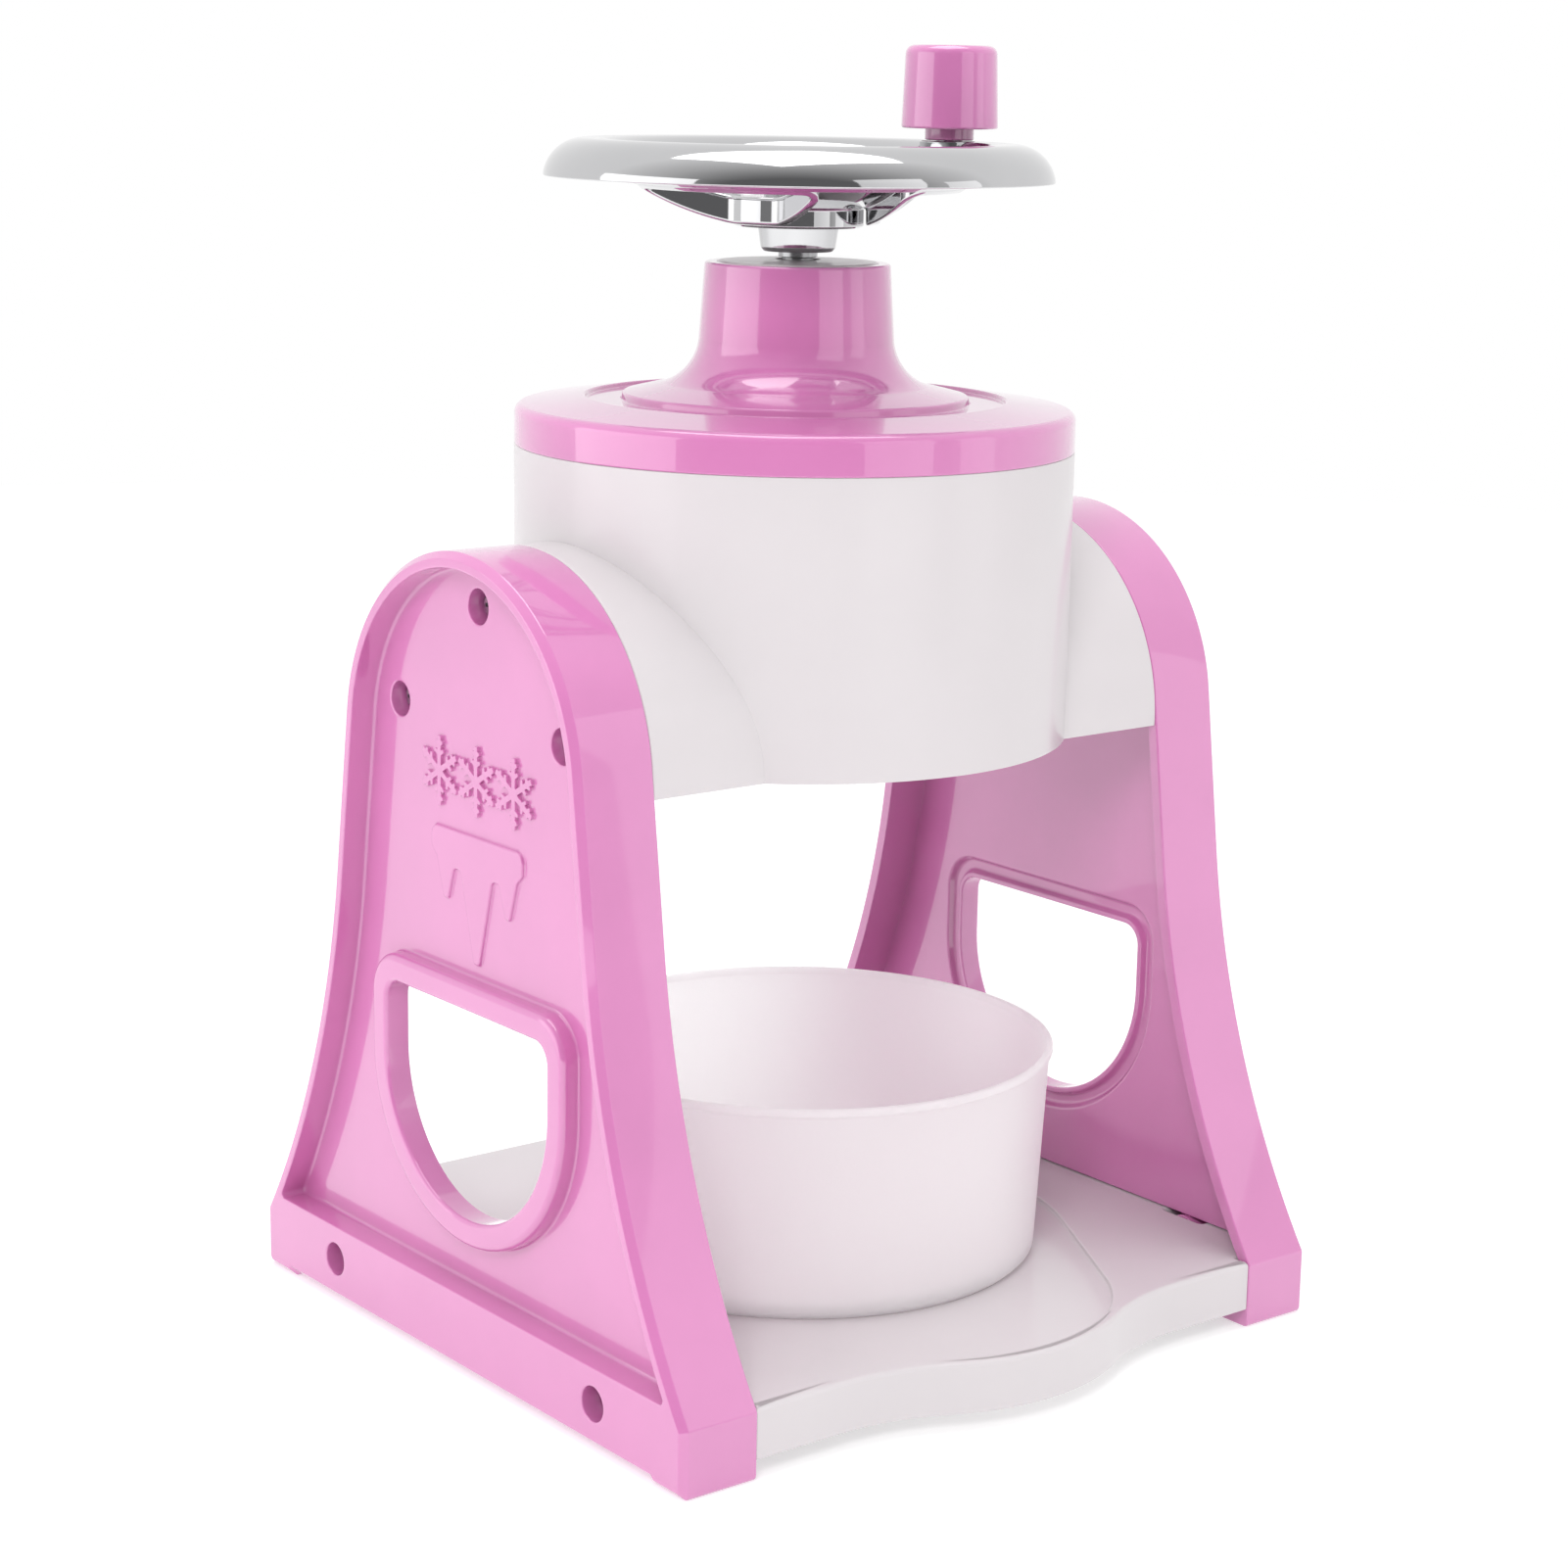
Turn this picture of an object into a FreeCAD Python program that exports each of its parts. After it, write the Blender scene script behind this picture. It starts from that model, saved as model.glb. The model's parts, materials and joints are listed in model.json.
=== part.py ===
import FreeCAD, Part
import math
import os

# Hand-cranked ice shaver: two side panels carry an ice chamber above a base plate and a bowl.
# A handwheel on a screw shaft turns a spiked disc and feeds the ice down onto a fixed blade.
# Everything is drawn about the vertical axis of the ice chamber, +Z up and -Y to the front,
# and is shifted on export so that the origin is under the middle of the footprint.

Vector = FreeCAD.Vector

# ---- Driving dimensions, millimetres ----
LID_R = 65.0                # lid and ice chamber, outside
OUTER_X = 93.75             # outer face of each side panel
PANEL_T = 19.7              # side panel, from outer face to inner edge
INNER_X = OUTER_X - PANEL_T
FOOT_HALF = 86.9            # half depth of a side panel at the floor
FOOT_SIDE_H = 15.5          # upright part of the foot's front and back
ARCH_R = 47.5               # round top of a side panel and of the chamber's wings
ARCH_Z = 141.5
LEAN = math.radians(7.5)    # slope of the panel's sides below the arch
FLARE_Z = 108.0             # height where the sides begin to flare out
SOLE_RAISE = 1.0            # the sole is raised between its two ends
SOLE_END = 12.0

FLANGE = 3.6                # rim of a panel seen from outside
FLANGE_IN = 3.0             # the same rim seen from inside
RIM_BEVEL = 1.6
WEB_OUT_X = 87.4            # panel web, outer and inner faces
WEB_IN_X = 85.4
LEDGE_Z = 19.2              # top of the foot block
FOOT_ROOM_X = 91.0          # end of the hollow foot
FOOT_ROOM_Z = (4.2, 16.8)

WINDOW_HALF = 33.0          # D-shaped hand window
WINDOW_TOP = 85.7
WINDOW_Z = 69.5             # centre of its round lower half
WINDOW_CORNER = 5.0
COLLAR = 6.4                # raised collar round the window
COLLAR_X = 91.8
COLLAR_LIP = 2.0
COLLAR_CORNER = 10.0

CHAMBER_Z = 140.5           # underside of the ice chamber
CHAMBER_BORE = 61.5
FLOOR_T = 5.0
RIM_Z = 207.4               # seam between chamber and lid
WING_WALL = 2.5
SPIGOT_X = 79.9             # end of the wing's spigot inside the panel
SPIGOT_R = 44.2
SPIGOT_WALL = 2.6

LID_EDGE_Z = 216.2          # top of the lid's upright side; the shoulder slopes up from here
LID_TOP = 218.5
LID_GROOVE = (40.4, 48.4)   # ring groove in the lid's top
LID_COLLAR_LOW = 199.0      # collar that centres the lid in the chamber
LID_COLLAR = (58.6, 61.2)
NECK_TOP = 249.2
NECK_R = 21.4
MOUTH_R = 18.6
NUT_SEAT_Z = 233.0
NUT_SEAT_R = 15.0
NUT_LOW_Z = 212.0
NUT_STEM_R = 9.5
NUT_CROWN = 0.7             # the nut stands this much proud of the neck
KEY_W = 8.0                 # keys that stop the lid from turning
KEY_CLEAR = 0.3

BASE_TOP = 16.4
BASE_LOW = 4.5
BASE_HALF = 86.6
BASE_WALL = 2.5
TONGUE_X = 90.8             # base ends inside the feet
TONGUE_HALF = 82.5
BULGE_HALF = 50.0           # front bulge of the base
BULGE_Y = 98.7
SEAT_DEPTH = 1.0            # sunk seat for the bowl
SEAT_R = 66.5
SEAT_FRONT_R = 45.0
SEAT_FRONT_Y = -52.0

BOWL_Y = -6.5
BOWL_TOP = 66.4
BOWL_RIM_R = 60.3
BOWL_FOOT_R = 57.3
BOWL_WALL = 1.6

SCREW_R = 4.5               # lead screw
CORE_R = 3.6
SPINDLE_R = 3.5             # plain ends of the screw
PITCH = 4.0
THREAD_Z = (172.0, 250.5)
SHAFT_LOW = 148.9
SHAFT_TOP = 270.5
SHAFT_TOP_SHOULDER = 251.7
SHAFT_LOW_SHOULDER = 163.2
THREAD_CLEAR = 0.08

GRIP_R = 54.0
GRIP_Z = 155.0              # underside of the gripper disc
GRIP_T = 4.0
GRIP_HUB_TOP = 161.0
SPIKE_TIP = 148.0

WHEEL_R = 58.5
WHEEL_LOW = 268.0
WHEEL_CREST = 276.5
WHEEL_SHELL = 1.8
HUB_LOW = 257.3
HUB_TOP = 264.0
HUB_R = 14.0
SPOKES = 3
SPOKE_HALF = 12.0           # half width of a spoke
OPENING_R = (18.8, 36.5)
OPENING_TURN = 76.25        # direction of the first opening, knob at 0
WHEEL_WASHER_T = 1.2

KNOB_X = 45.0               # knob axis on the wheel
KNOB_LOW = 279.4
KNOB_TOP = 298.6
KNOB_R = 11.45
KNOB_STEM_R = 5.8
KNOB_STEM_LOW = 276.7
KNOB_BORE_R = 3.06
KNOB_PIN_R = 3.0
KNOB_PAD_LOW = 271.2        # pad that the knob's spindle is bolted through
KNOB_PAD_TOP = 276.6
KNOB_PAD_R = 7.0
KNOB_BOLT_R = 2.5

BLADE_TILT = math.radians(25)
BLADE_EDGE = (0.8, 0.6)     # cutting edge: its place along Y, and its height above the floor
SLOT_FRONT = 7.0            # front wall of the slot that the shavings fall through
SLOT_BACK = -22.5           # the floor is cut away under the blade from here
BLADE_SPAN = (9.0, 57.0)
BLADE_LEN = 18.0
BLADE_T = 1.0
BLADE_SCREW_X = (20.0, 46.0)
BLADE_SCREW_BACK = 14.5     # from the cutting edge, along the blade
CLAMP_SPAN = (12.0, 54.0)
CLAMP_T = 1.6
CLAMP_BACK = 8.0
CLAMP_LEN = 10.0

SCREW_HOLES = [(0.0, 176.6), (-32.5, 151.0), (32.5, 151.0)]
HOPPER_SEAT_X = 82.0        # undersides of the screw heads
HOPPER_SCREW_LEN = 12.0
FOOT_SCREWS = [(-54.0, 10.9), (54.0, 10.9)]
BASE_SEAT_X = 86.5
BASE_SCREW_LEN = 14.0
BOSS_R = 5.5
BOSS_FLOOR = 2.0
COUNTERBORE_R = 4.0
SCREW_HEAD_R = 3.2
THREAD_R = 1.6
PILOT_R = 1.35
SHANK_R = 1.8

EMBLEM_H = 0.8              # raised emblem: a row of snowflakes above an icicle
FLAKE_Z = 137.5
FLAKE_R = 8.0
FLAKE_STEP = 15.0
TWIG_LEAN = 55              # degrees
ICICLE_TOP = 125.0
ICICLE_HALF = 18.5
ICICLE_CAP = 9.0            # height of the rounded cap that the icicle hangs from
ICICLE_TIP = 95.5
ICICLE_STEM = 6.5           # half width at the cap

# The base's front bulge reaches further than the feet, so the middle of the footprint lies ahead.
AXIS_Y = (BULGE_Y - FOOT_HALF) / 2
EXPORT_SHIFT = Vector(0, AXIS_Y, 0)


# ---- Drawing helpers ----
class Mid(tuple):
    """A point that an arc passes through on its way to the next corner."""


def in_yz(u, v):
    return Vector(0, u, v)


def in_xz(u, v):
    return Vector(u, 0, v)


def in_xy(u, v):
    return Vector(u, v, 0)


def closed_wire(points, plane):
    """Closed outline: plain pairs are corners, Mid pairs bend the edge that passes them."""
    edges = []
    here = plane(*points[0])
    bend = None
    for point in points[1:] + [points[0]]:
        there = plane(*point)
        if isinstance(point, Mid):
            bend = there
            continue
        if bend:
            edges.append(Part.Arc(here, bend, there).toShape())
        else:
            edges.append(Part.LineSegment(here, there).toShape())
        here = there
        bend = None
    return Part.Wire(edges)


def prism(wire, start, length):
    """Extrude a wire along the normal of the plane that it was drawn in."""
    box = wire.BoundBox
    if box.XLength < 1e-6:
        axis = Vector(1, 0, 0)
    elif box.YLength < 1e-6:
        axis = Vector(0, 1, 0)
    else:
        axis = Vector(0, 0, 1)
    face = Part.Face(wire)
    face.translate(axis * start)
    return face.extrude(axis * length)


def turned(points):
    """Solid of revolution about Z from an outline of (radius, height) pairs."""
    solid = Part.Face(closed_wire(points, in_xz)).revolve(Vector(0, 0, 0), Vector(0, 0, 1), 360)
    if solid.Volume < 0:
        solid.reverse()
    return solid


def box(low, high):
    size = [b - a for a, b in zip(low, high)]
    return Part.makeBox(size[0], size[1], size[2], Vector(*low))


def rod(radius, start, end):
    """Cylinder between two points."""
    run = Vector(*end) - Vector(*start)
    return Part.makeCylinder(radius, run.Length, Vector(*start), run)


def fused(shapes):
    return shapes[0].multiFuse(shapes[1:]).removeSplitter()


def arc_from(start, heading, end):
    """Middle point of the arc that leaves start along heading (a unit pair) and reaches end."""
    chord = (end[0] - start[0], end[1] - start[1])
    length = math.hypot(*chord)
    unit = (chord[0] / length, chord[1] / length)
    across = heading[0] * unit[1] - heading[1] * unit[0]
    ahead = heading[0] * unit[0] + heading[1] * unit[1]
    sagitta = length / 2 * math.tan(math.atan2(across, ahead) / 2)
    return Mid(((start[0] + end[0]) / 2 + unit[1] * sagitta, (start[1] + end[1]) / 2 - unit[0] * sagitta))


def mirrored(shape, normal):
    return shape.mirror(Vector(0, 0, 0), Vector(*normal))


def export(name, shape):
    moved = shape.copy()
    moved.translate(EXPORT_SHIFT)
    moved.exportStep("parts/" + name + ".step")


# ---- Side panels ----
def panel_wire():
    """Side panel seen from the side: round top, leaning sides that flare into the foot."""
    shoulder = (ARCH_R * math.cos(LEAN), ARCH_Z + ARCH_R * math.sin(LEAN))
    flare = (shoulder[0] + (shoulder[1] - FLARE_Z) * math.tan(LEAN), FLARE_Z)
    ankle = (FOOT_HALF, FOOT_SIDE_H)
    bend = arc_from(flare, (math.sin(LEAN), -math.cos(LEAN)), ankle)
    right = [shoulder, flare, bend, ankle, (FOOT_HALF, 0.0)]
    left = [Mid((-p[0], p[1])) if isinstance(p, Mid) else (-p[0], p[1]) for p in reversed(right)]
    return closed_wire(right + left + [Mid((0.0, ARCH_Z + ARCH_R))], in_yz)


def window_wire(grow, corner):
    """D-shaped window, grown outwards by a margin."""
    half = WINDOW_HALF + grow
    top = WINDOW_TOP + grow
    bow = corner * (1 - math.sqrt(0.5))
    return closed_wire([
        (-half + corner, top), (half - corner, top), Mid((half - bow, top - bow)), (half, top - corner),
        (half, WINDOW_Z), Mid((0.0, WINDOW_Z - half)), (-half, WINDOW_Z),
        (-half, top - corner), Mid((-half + bow, top - bow))], in_yz)


def snowflake(y):
    """Six-armed star in the YZ plane, raised along +X."""
    half_arm = 0.085 * FLAKE_R
    half_twig = 0.055 * FLAKE_R
    arms = []
    for turn in range(0, 360, 60):
        pieces = [box((0, -half_arm, 0), (EMBLEM_H, half_arm, FLAKE_R))]
        for reach, length in ((0.44, 0.26), (0.72, 0.20)):
            for lean in (-TWIG_LEAN, TWIG_LEAN):
                twig = box((0, -half_twig, 0), (EMBLEM_H, half_twig, FLAKE_R * length))
                twig.rotate(Vector(0, 0, 0), Vector(1, 0, 0), lean)
                twig.translate(Vector(0, 0, FLAKE_R * reach))
                pieces.append(twig)
        arm = fused(pieces)
        arm.rotate(Vector(0, 0, 0), Vector(1, 0, 0), turn)
        arms.append(arm)
    flake = fused(arms)
    flake.translate(Vector(WEB_OUT_X, y, FLAKE_Z))
    return flake


def icicle():
    """Round-ended cap with a tapering icicle below it."""
    cap_low = ICICLE_TOP - ICICLE_CAP
    end_r = ICICLE_CAP / 2
    end_y = ICICLE_HALF - end_r
    cap = closed_wire([
        (-end_y, ICICLE_TOP), (end_y, ICICLE_TOP), Mid((ICICLE_HALF, ICICLE_TOP - end_r)), (end_y, cap_low),
        (-end_y, cap_low), Mid((-ICICLE_HALF, ICICLE_TOP - end_r))], in_yz)
    tip = 1.2
    stem = closed_wire([
        (-ICICLE_STEM, cap_low + 1), (ICICLE_STEM, cap_low + 1), (tip, ICICLE_TIP + tip),
        Mid((0.0, ICICLE_TIP)), (-tip, ICICLE_TIP + tip)], in_yz)
    return prism(cap, WEB_OUT_X, EMBLEM_H).fuse(prism(stem, WEB_OUT_X, EMBLEM_H))


def counterbored_boss(y, z, face_x, seat_x):
    """Tube that takes a screw from outside: (what is added, what is cut)."""
    end_x = seat_x - BOSS_FLOOR
    post = rod(BOSS_R, (end_x, y, z), (face_x, y, z))
    sink = rod(COUNTERBORE_R, (seat_x, y, z), (OUTER_X + 1, y, z))
    hole = rod(SHANK_R, (end_x - 1, y, z), (seat_x + 1, y, z))
    return post, [sink, hole]


def side_panel():
    """Right-hand panel; the left one is its mirror image."""
    outline = panel_wire()
    block = prism(outline, INNER_X, PANEL_T)
    rim = [e for e in block.Edges if e.BoundBox.XMin > OUTER_X - 0.01]
    block = block.makeChamfer(RIM_BEVEL, rim)

    outside = prism(outline.makeOffset2D(-FLANGE), WEB_OUT_X, OUTER_X - WEB_OUT_X + 1)
    outside = outside.cut(box((0, -FOOT_HALF, 0), (OUTER_X + 2, FOOT_HALF, LEDGE_Z)))
    inside = prism(outline.makeOffset2D(-FLANGE_IN), INNER_X - 1, WEB_IN_X - INNER_X + 1)
    inside = inside.cut(box((0, -FOOT_HALF, 0), (OUTER_X, FOOT_HALF, FOOT_ROOM_Z[0])))
    foot_half = FOOT_HALF - FLANGE_IN
    foot_room = box((INNER_X, -foot_half, FOOT_ROOM_Z[0]), (FOOT_ROOM_X, foot_half, FOOT_ROOM_Z[1]))
    sole = box((INNER_X - 1, SOLE_END - FOOT_HALF, -1), (OUTER_X + 1, FOOT_HALF - SOLE_END, SOLE_RAISE))
    panel = block.cut(fused([outside, inside, foot_room])).cut(sole)

    collar = prism(window_wire(COLLAR, COLLAR_CORNER), WEB_IN_X, COLLAR_X - WEB_IN_X)
    crest = [e for e in collar.Edges if e.BoundBox.XMin > COLLAR_X - 0.01]
    collar = collar.makeFillet(1.4, crest)
    groove = prism(window_wire(COLLAR - COLLAR_LIP, COLLAR_CORNER - COLLAR_LIP), WEB_IN_X - 1,
                   COLLAR_X - COLLAR_LIP - WEB_IN_X + 1)
    groove = groove.cut(prism(window_wire(COLLAR_LIP, WINDOW_CORNER + COLLAR_LIP), 0, OUTER_X))
    window = prism(window_wire(0, WINDOW_CORNER), 0, OUTER_X + 1)
    panel = panel.fuse(collar).cut(groove).cut(window)

    bosses = [counterbored_boss(y, z, WEB_IN_X, HOPPER_SEAT_X) for y, z in SCREW_HOLES]
    bosses += [counterbored_boss(y, z, FOOT_ROOM_X, BASE_SEAT_X) for y, z in FOOT_SCREWS]
    emblem = [snowflake(y) for y in (-FLAKE_STEP, 0, FLAKE_STEP)] + [icicle()]
    panel = fused([panel] + emblem + [post for post, cuts in bosses])
    return panel.cut(fused([cut for post, cuts in bosses for cut in cuts]))


def tapping_screw(y, z, seat_x, length):
    """Pan-head tapping screw along -X, its head's underside at seat_x."""
    head = rod(SCREW_HEAD_R, (seat_x, y, z), (seat_x + 2.2, y, z))
    head = head.makeFillet(0.9, [e for e in head.Edges if e.BoundBox.XMin > seat_x + 2])
    tip = Part.makeCone(THREAD_R, 0.4, 2.5, Vector(seat_x - length + 2.5, y, z), Vector(-1, 0, 0))
    screw = fused([head, rod(THREAD_R, (seat_x - length + 2.5, y, z), (seat_x, y, z)), tip])
    for half_y, half_z in ((1.9, 0.45), (0.45, 1.9)):
        screw = screw.cut(box((seat_x + 0.9, y - half_y, z - half_z), (seat_x + 3, y + half_y, z + half_z)))
    return screw


# ---- Ice chamber ----
def arch_wire(radius):
    """Wing section: half round above a short upright side, flat at the bottom."""
    return closed_wire([(radius, CHAMBER_Z), (radius, ARCH_Z), Mid((0.0, ARCH_Z + radius)),
                        (-radius, ARCH_Z), (-radius, CHAMBER_Z)], in_yz)


def blade_plane(y, depth):
    """Height of the blade's upper face at y, lowered by a depth measured across the blade."""
    edge_z = CHAMBER_Z + FLOOR_T + BLADE_EDGE[1]
    return edge_z + (y - BLADE_EDGE[0]) * math.tan(BLADE_TILT) - depth / math.cos(BLADE_TILT)


def blade_screw_place():
    """Middle of the blade's screws on the bed, and the direction that they are driven in."""
    y = BLADE_EDGE[0] - BLADE_SCREW_BACK * math.cos(BLADE_TILT)
    return y, blade_plane(y, 0.0), Vector(0, -math.sin(BLADE_TILT), math.cos(BLADE_TILT))


def hopper():
    """Ice chamber with two wings that reach into the side panels."""
    tube = Part.makeCylinder(LID_R, RIM_Z - CHAMBER_Z, Vector(0, 0, CHAMBER_Z))
    wings = prism(arch_wire(ARCH_R), -INNER_X, 2 * INNER_X)
    spigots = prism(arch_wire(SPIGOT_R), -SPIGOT_X, 2 * SPIGOT_X)
    wing_room = prism(arch_wire(ARCH_R - WING_WALL), -INNER_X + 2, 2 * (INNER_X - 2))
    spigot_end = SPIGOT_X - SPIGOT_WALL
    spigot_room = prism(arch_wire(SPIGOT_R - SPIGOT_WALL), -spigot_end, 2 * spigot_end)
    rooms = wing_room.fuse(spigot_room).cut(tube)
    body = fused([tube, wings, spigots]).cut(rooms)

    posts = []
    pilots = []
    for y, z in SCREW_HOLES:
        for side in (-1, 1):
            posts.append(rod(4.5, (side * 68, y, z), (side * SPIGOT_X, y, z)))
            pilots.append(rod(PILOT_R, (side * 69, y, z), (side * (SPIGOT_X + 1), y, z)))
    body = fused([body] + posts).cut(Part.makeCompound(pilots))

    bore = Part.makeCylinder(CHAMBER_BORE, 80, Vector(0, 0, CHAMBER_Z + FLOOR_T))
    slot_low = CHAMBER_Z - 20
    slot_ends = (BLADE_SPAN[0] - 0.5, BLADE_SPAN[1] + 0.5)
    under_blade = closed_wire([
        (SLOT_BACK, slot_low), (SLOT_BACK, blade_plane(SLOT_BACK, 0)),
        (SLOT_FRONT, blade_plane(SLOT_FRONT, 0)), (SLOT_FRONT, slot_low)], in_yz)
    slope = prism(under_blade, slot_ends[0], slot_ends[1] - slot_ends[0])
    slot = box((slot_ends[0], BLADE_EDGE[0] - 1.2, slot_low), (slot_ends[1], SLOT_FRONT, slot_low + 40))
    body = body.cut(bore).cut(slope.fuse(slot))

    y, z, drive = blade_screw_place()
    pilots = [Part.makeCylinder(1.2, 5.0, Vector(x, y, z) - drive, drive) for x in BLADE_SCREW_X]
    half_key = KEY_W / 2 + KEY_CLEAR
    keyways = [box((side * 57 - 6, -half_key, LID_COLLAR_LOW - 3), (side * 57 + 6.1, half_key, RIM_Z + 2))
               for side in (-1, 1)]
    return body.cut(Part.makeCompound(pilots)).cut(Part.makeCompound(keyways))


def hopper_parts():
    """Wall, floor and two wings: one moulding, split where they meet."""
    whole = hopper()
    floor_top = CHAMBER_Z + FLOOR_T
    wall = whole.common(Part.makeCylinder(LID_R, RIM_Z - floor_top, Vector(0, 0, floor_top)))
    floor = whole.common(Part.makeCylinder(LID_R, FLOOR_T, Vector(0, 0, CHAMBER_Z)))
    wings = whole.cut(Part.makeCylinder(LID_R, 2 * (RIM_Z - CHAMBER_Z), Vector(0, 0, CHAMBER_Z - 1)))
    left, right = sorted(wings.Solids, key=lambda solid: solid.BoundBox.XMin)
    return {"hopper": wall, "hopper_floor": floor, "hopper_wing_left": left, "hopper_wing_right": right}


def on_blade_bed(thickness, back, length):
    """Section of a plate along the blade bed: a slab under the bed plane, ground off in front."""
    front_y = BLADE_EDGE[0] - back * math.cos(BLADE_TILT)
    back_y = front_y - length * math.cos(BLADE_TILT)
    ground_y = front_y - 2 * thickness
    return closed_wire([
        (front_y, blade_plane(front_y, 0)), (back_y, blade_plane(back_y, 0)),
        (back_y, blade_plane(back_y, thickness)), (ground_y, blade_plane(ground_y, thickness))], in_yz)


def blade_screw_holes(depth):
    y, z, drive = blade_screw_place()
    return Part.makeCompound([Part.makeCylinder(1.9, 2 * depth, Vector(x, y, z) - drive * depth, drive)
                              for x in BLADE_SCREW_X])


def shaving_blade():
    blade = prism(on_blade_bed(BLADE_T, 0.0, BLADE_LEN), BLADE_SPAN[0], BLADE_SPAN[1] - BLADE_SPAN[0])
    return blade.cut(blade_screw_holes(3.0))


def blade_clamp():
    """Plate under the blade that the screws pull against it."""
    section = on_blade_bed(BLADE_T + CLAMP_T, CLAMP_BACK, CLAMP_LEN)
    blade_room = prism(on_blade_bed(BLADE_T, -2.0, BLADE_LEN + 6), 0, BLADE_SPAN[1] + 10)
    plate = prism(section, CLAMP_SPAN[0], CLAMP_SPAN[1] - CLAMP_SPAN[0]).cut(blade_room)
    return plate.cut(blade_screw_holes(5.0))


def blade_screws():
    y, z, drive = blade_screw_place()
    head_h = 2.0
    screws = []
    for x in BLADE_SCREW_X:
        seat = Vector(x, y, z) - drive * (BLADE_T + CLAMP_T)
        top = seat - drive * head_h
        head = Part.makeCylinder(SCREW_HEAD_R, head_h, top, drive)
        shank = Part.makeCylinder(1.5, BLADE_T + CLAMP_T + 3.6, seat, drive)
        slot = box((x - 4, y - 0.5, z - 12), (x + 4, y + 0.5, z + 12))
        slot.rotate(Vector(x, y, z), Vector(1, 0, 0), math.degrees(BLADE_TILT))
        slot_room = Part.makeCylinder(5, 1.1, top - drive * 0.1, drive)
        screws.append(head.fuse(shank).cut(slot.common(slot_room)))
    return Part.makeCompound(screws)


# ---- Base plate and bowl ----
def base_wire():
    """Plan of the base between the feet: straight back, a round bulge in the middle of the front."""
    depth = BULGE_Y - BASE_HALF
    radius = (BULGE_HALF ** 2 + depth ** 2) / (4 * depth)
    middle = (BULGE_HALF / 2, -BASE_HALF - depth / 2)
    turn = math.asin(BULGE_HALF / 2 / radius)
    step = (radius * math.sin(turn / 2), radius * (1 - math.cos(turn / 2)))
    hollow = Mid((BULGE_HALF - step[0], -BASE_HALF - step[1]))
    return closed_wire([
        (-INNER_X, BASE_HALF), (INNER_X, BASE_HALF), (INNER_X, -BASE_HALF), (BULGE_HALF, -BASE_HALF),
        hollow, middle, Mid((0.0, -BULGE_Y)), (-middle[0], middle[1]),
        Mid((-hollow[0], hollow[1])), (-BULGE_HALF, -BASE_HALF), (-INNER_X, -BASE_HALF)], in_xy)


def seat_wire(grow):
    """Round seat about the bowl, drawn out towards the front bulge."""
    back_r = SEAT_R + grow
    front_r = SEAT_FRONT_R + grow
    rise = (SEAT_R - SEAT_FRONT_R) / (BOWL_Y - SEAT_FRONT_Y)
    run = math.sqrt(1 - rise ** 2)
    back = (back_r * run, BOWL_Y - back_r * rise)
    front = (front_r * run, SEAT_FRONT_Y - front_r * rise)
    return closed_wire([back, front, Mid((0.0, SEAT_FRONT_Y - front_r)), (-front[0], front[1]),
                        (-back[0], back[1]), Mid((0.0, BOWL_Y + back_r))], in_xy)


def base_plate():
    """White shell, open underneath, whose ends plug into the feet."""
    slab = prism(base_wire(), BASE_LOW, BASE_TOP - BASE_LOW)
    top_edges = [e for e in slab.Edges if e.BoundBox.ZMin > BASE_TOP - 0.01 and abs(e.BoundBox.XLength) > 1]
    slab = slab.makeFillet(1.2, top_edges)
    tongues = box((-TONGUE_X, -TONGUE_HALF, BASE_LOW), (TONGUE_X, TONGUE_HALF, BASE_TOP))
    slab = slab.fuse(tongues)

    room_top = BASE_TOP - SEAT_DEPTH - BASE_WALL
    room = prism(base_wire().makeOffset2D(-BASE_WALL), BASE_LOW - 1, room_top - BASE_LOW + 1)
    end_room = box((-TONGUE_X + BASE_WALL, -TONGUE_HALF + BASE_WALL, BASE_LOW - 1),
                   (TONGUE_X - BASE_WALL, TONGUE_HALF - BASE_WALL, room_top))
    slab = slab.cut(room.fuse(end_room))
    slab = slab.cut(prism(seat_wire(0), BASE_TOP - SEAT_DEPTH, 5))

    ribs = []
    for y in (-54.0, 0.0, 54.0):
        ribs.append(box((-TONGUE_X + 1, y - 0.9, BASE_LOW + 2), (TONGUE_X - 1, y + 0.9, room_top + 0.5)))
    for x in (-45.0, 0.0, 45.0):
        ribs.append(box((x - 0.9, -BASE_HALF + 1, BASE_LOW + 2), (x + 0.9, BASE_HALF - 1, room_top + 0.5)))
    cuts = []
    post_end = BASE_SEAT_X - BOSS_FLOOR - 0.1
    for y, z in FOOT_SCREWS:
        for side in (-1, 1):
            ribs.append(rod(4.3, (side * 66, y, z), (side * post_end, y, z)))
            cuts.append(rod(PILOT_R, (side * 70, y, z), (side * 92, y, z)))
            near, far = sorted((side * post_end, side * 92))
            cuts.append(box((near, y - 6.2, 0), (far, y + 6.2, 20)))
    return fused([slab] + ribs).cut(Part.makeCompound(cuts))


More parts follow.
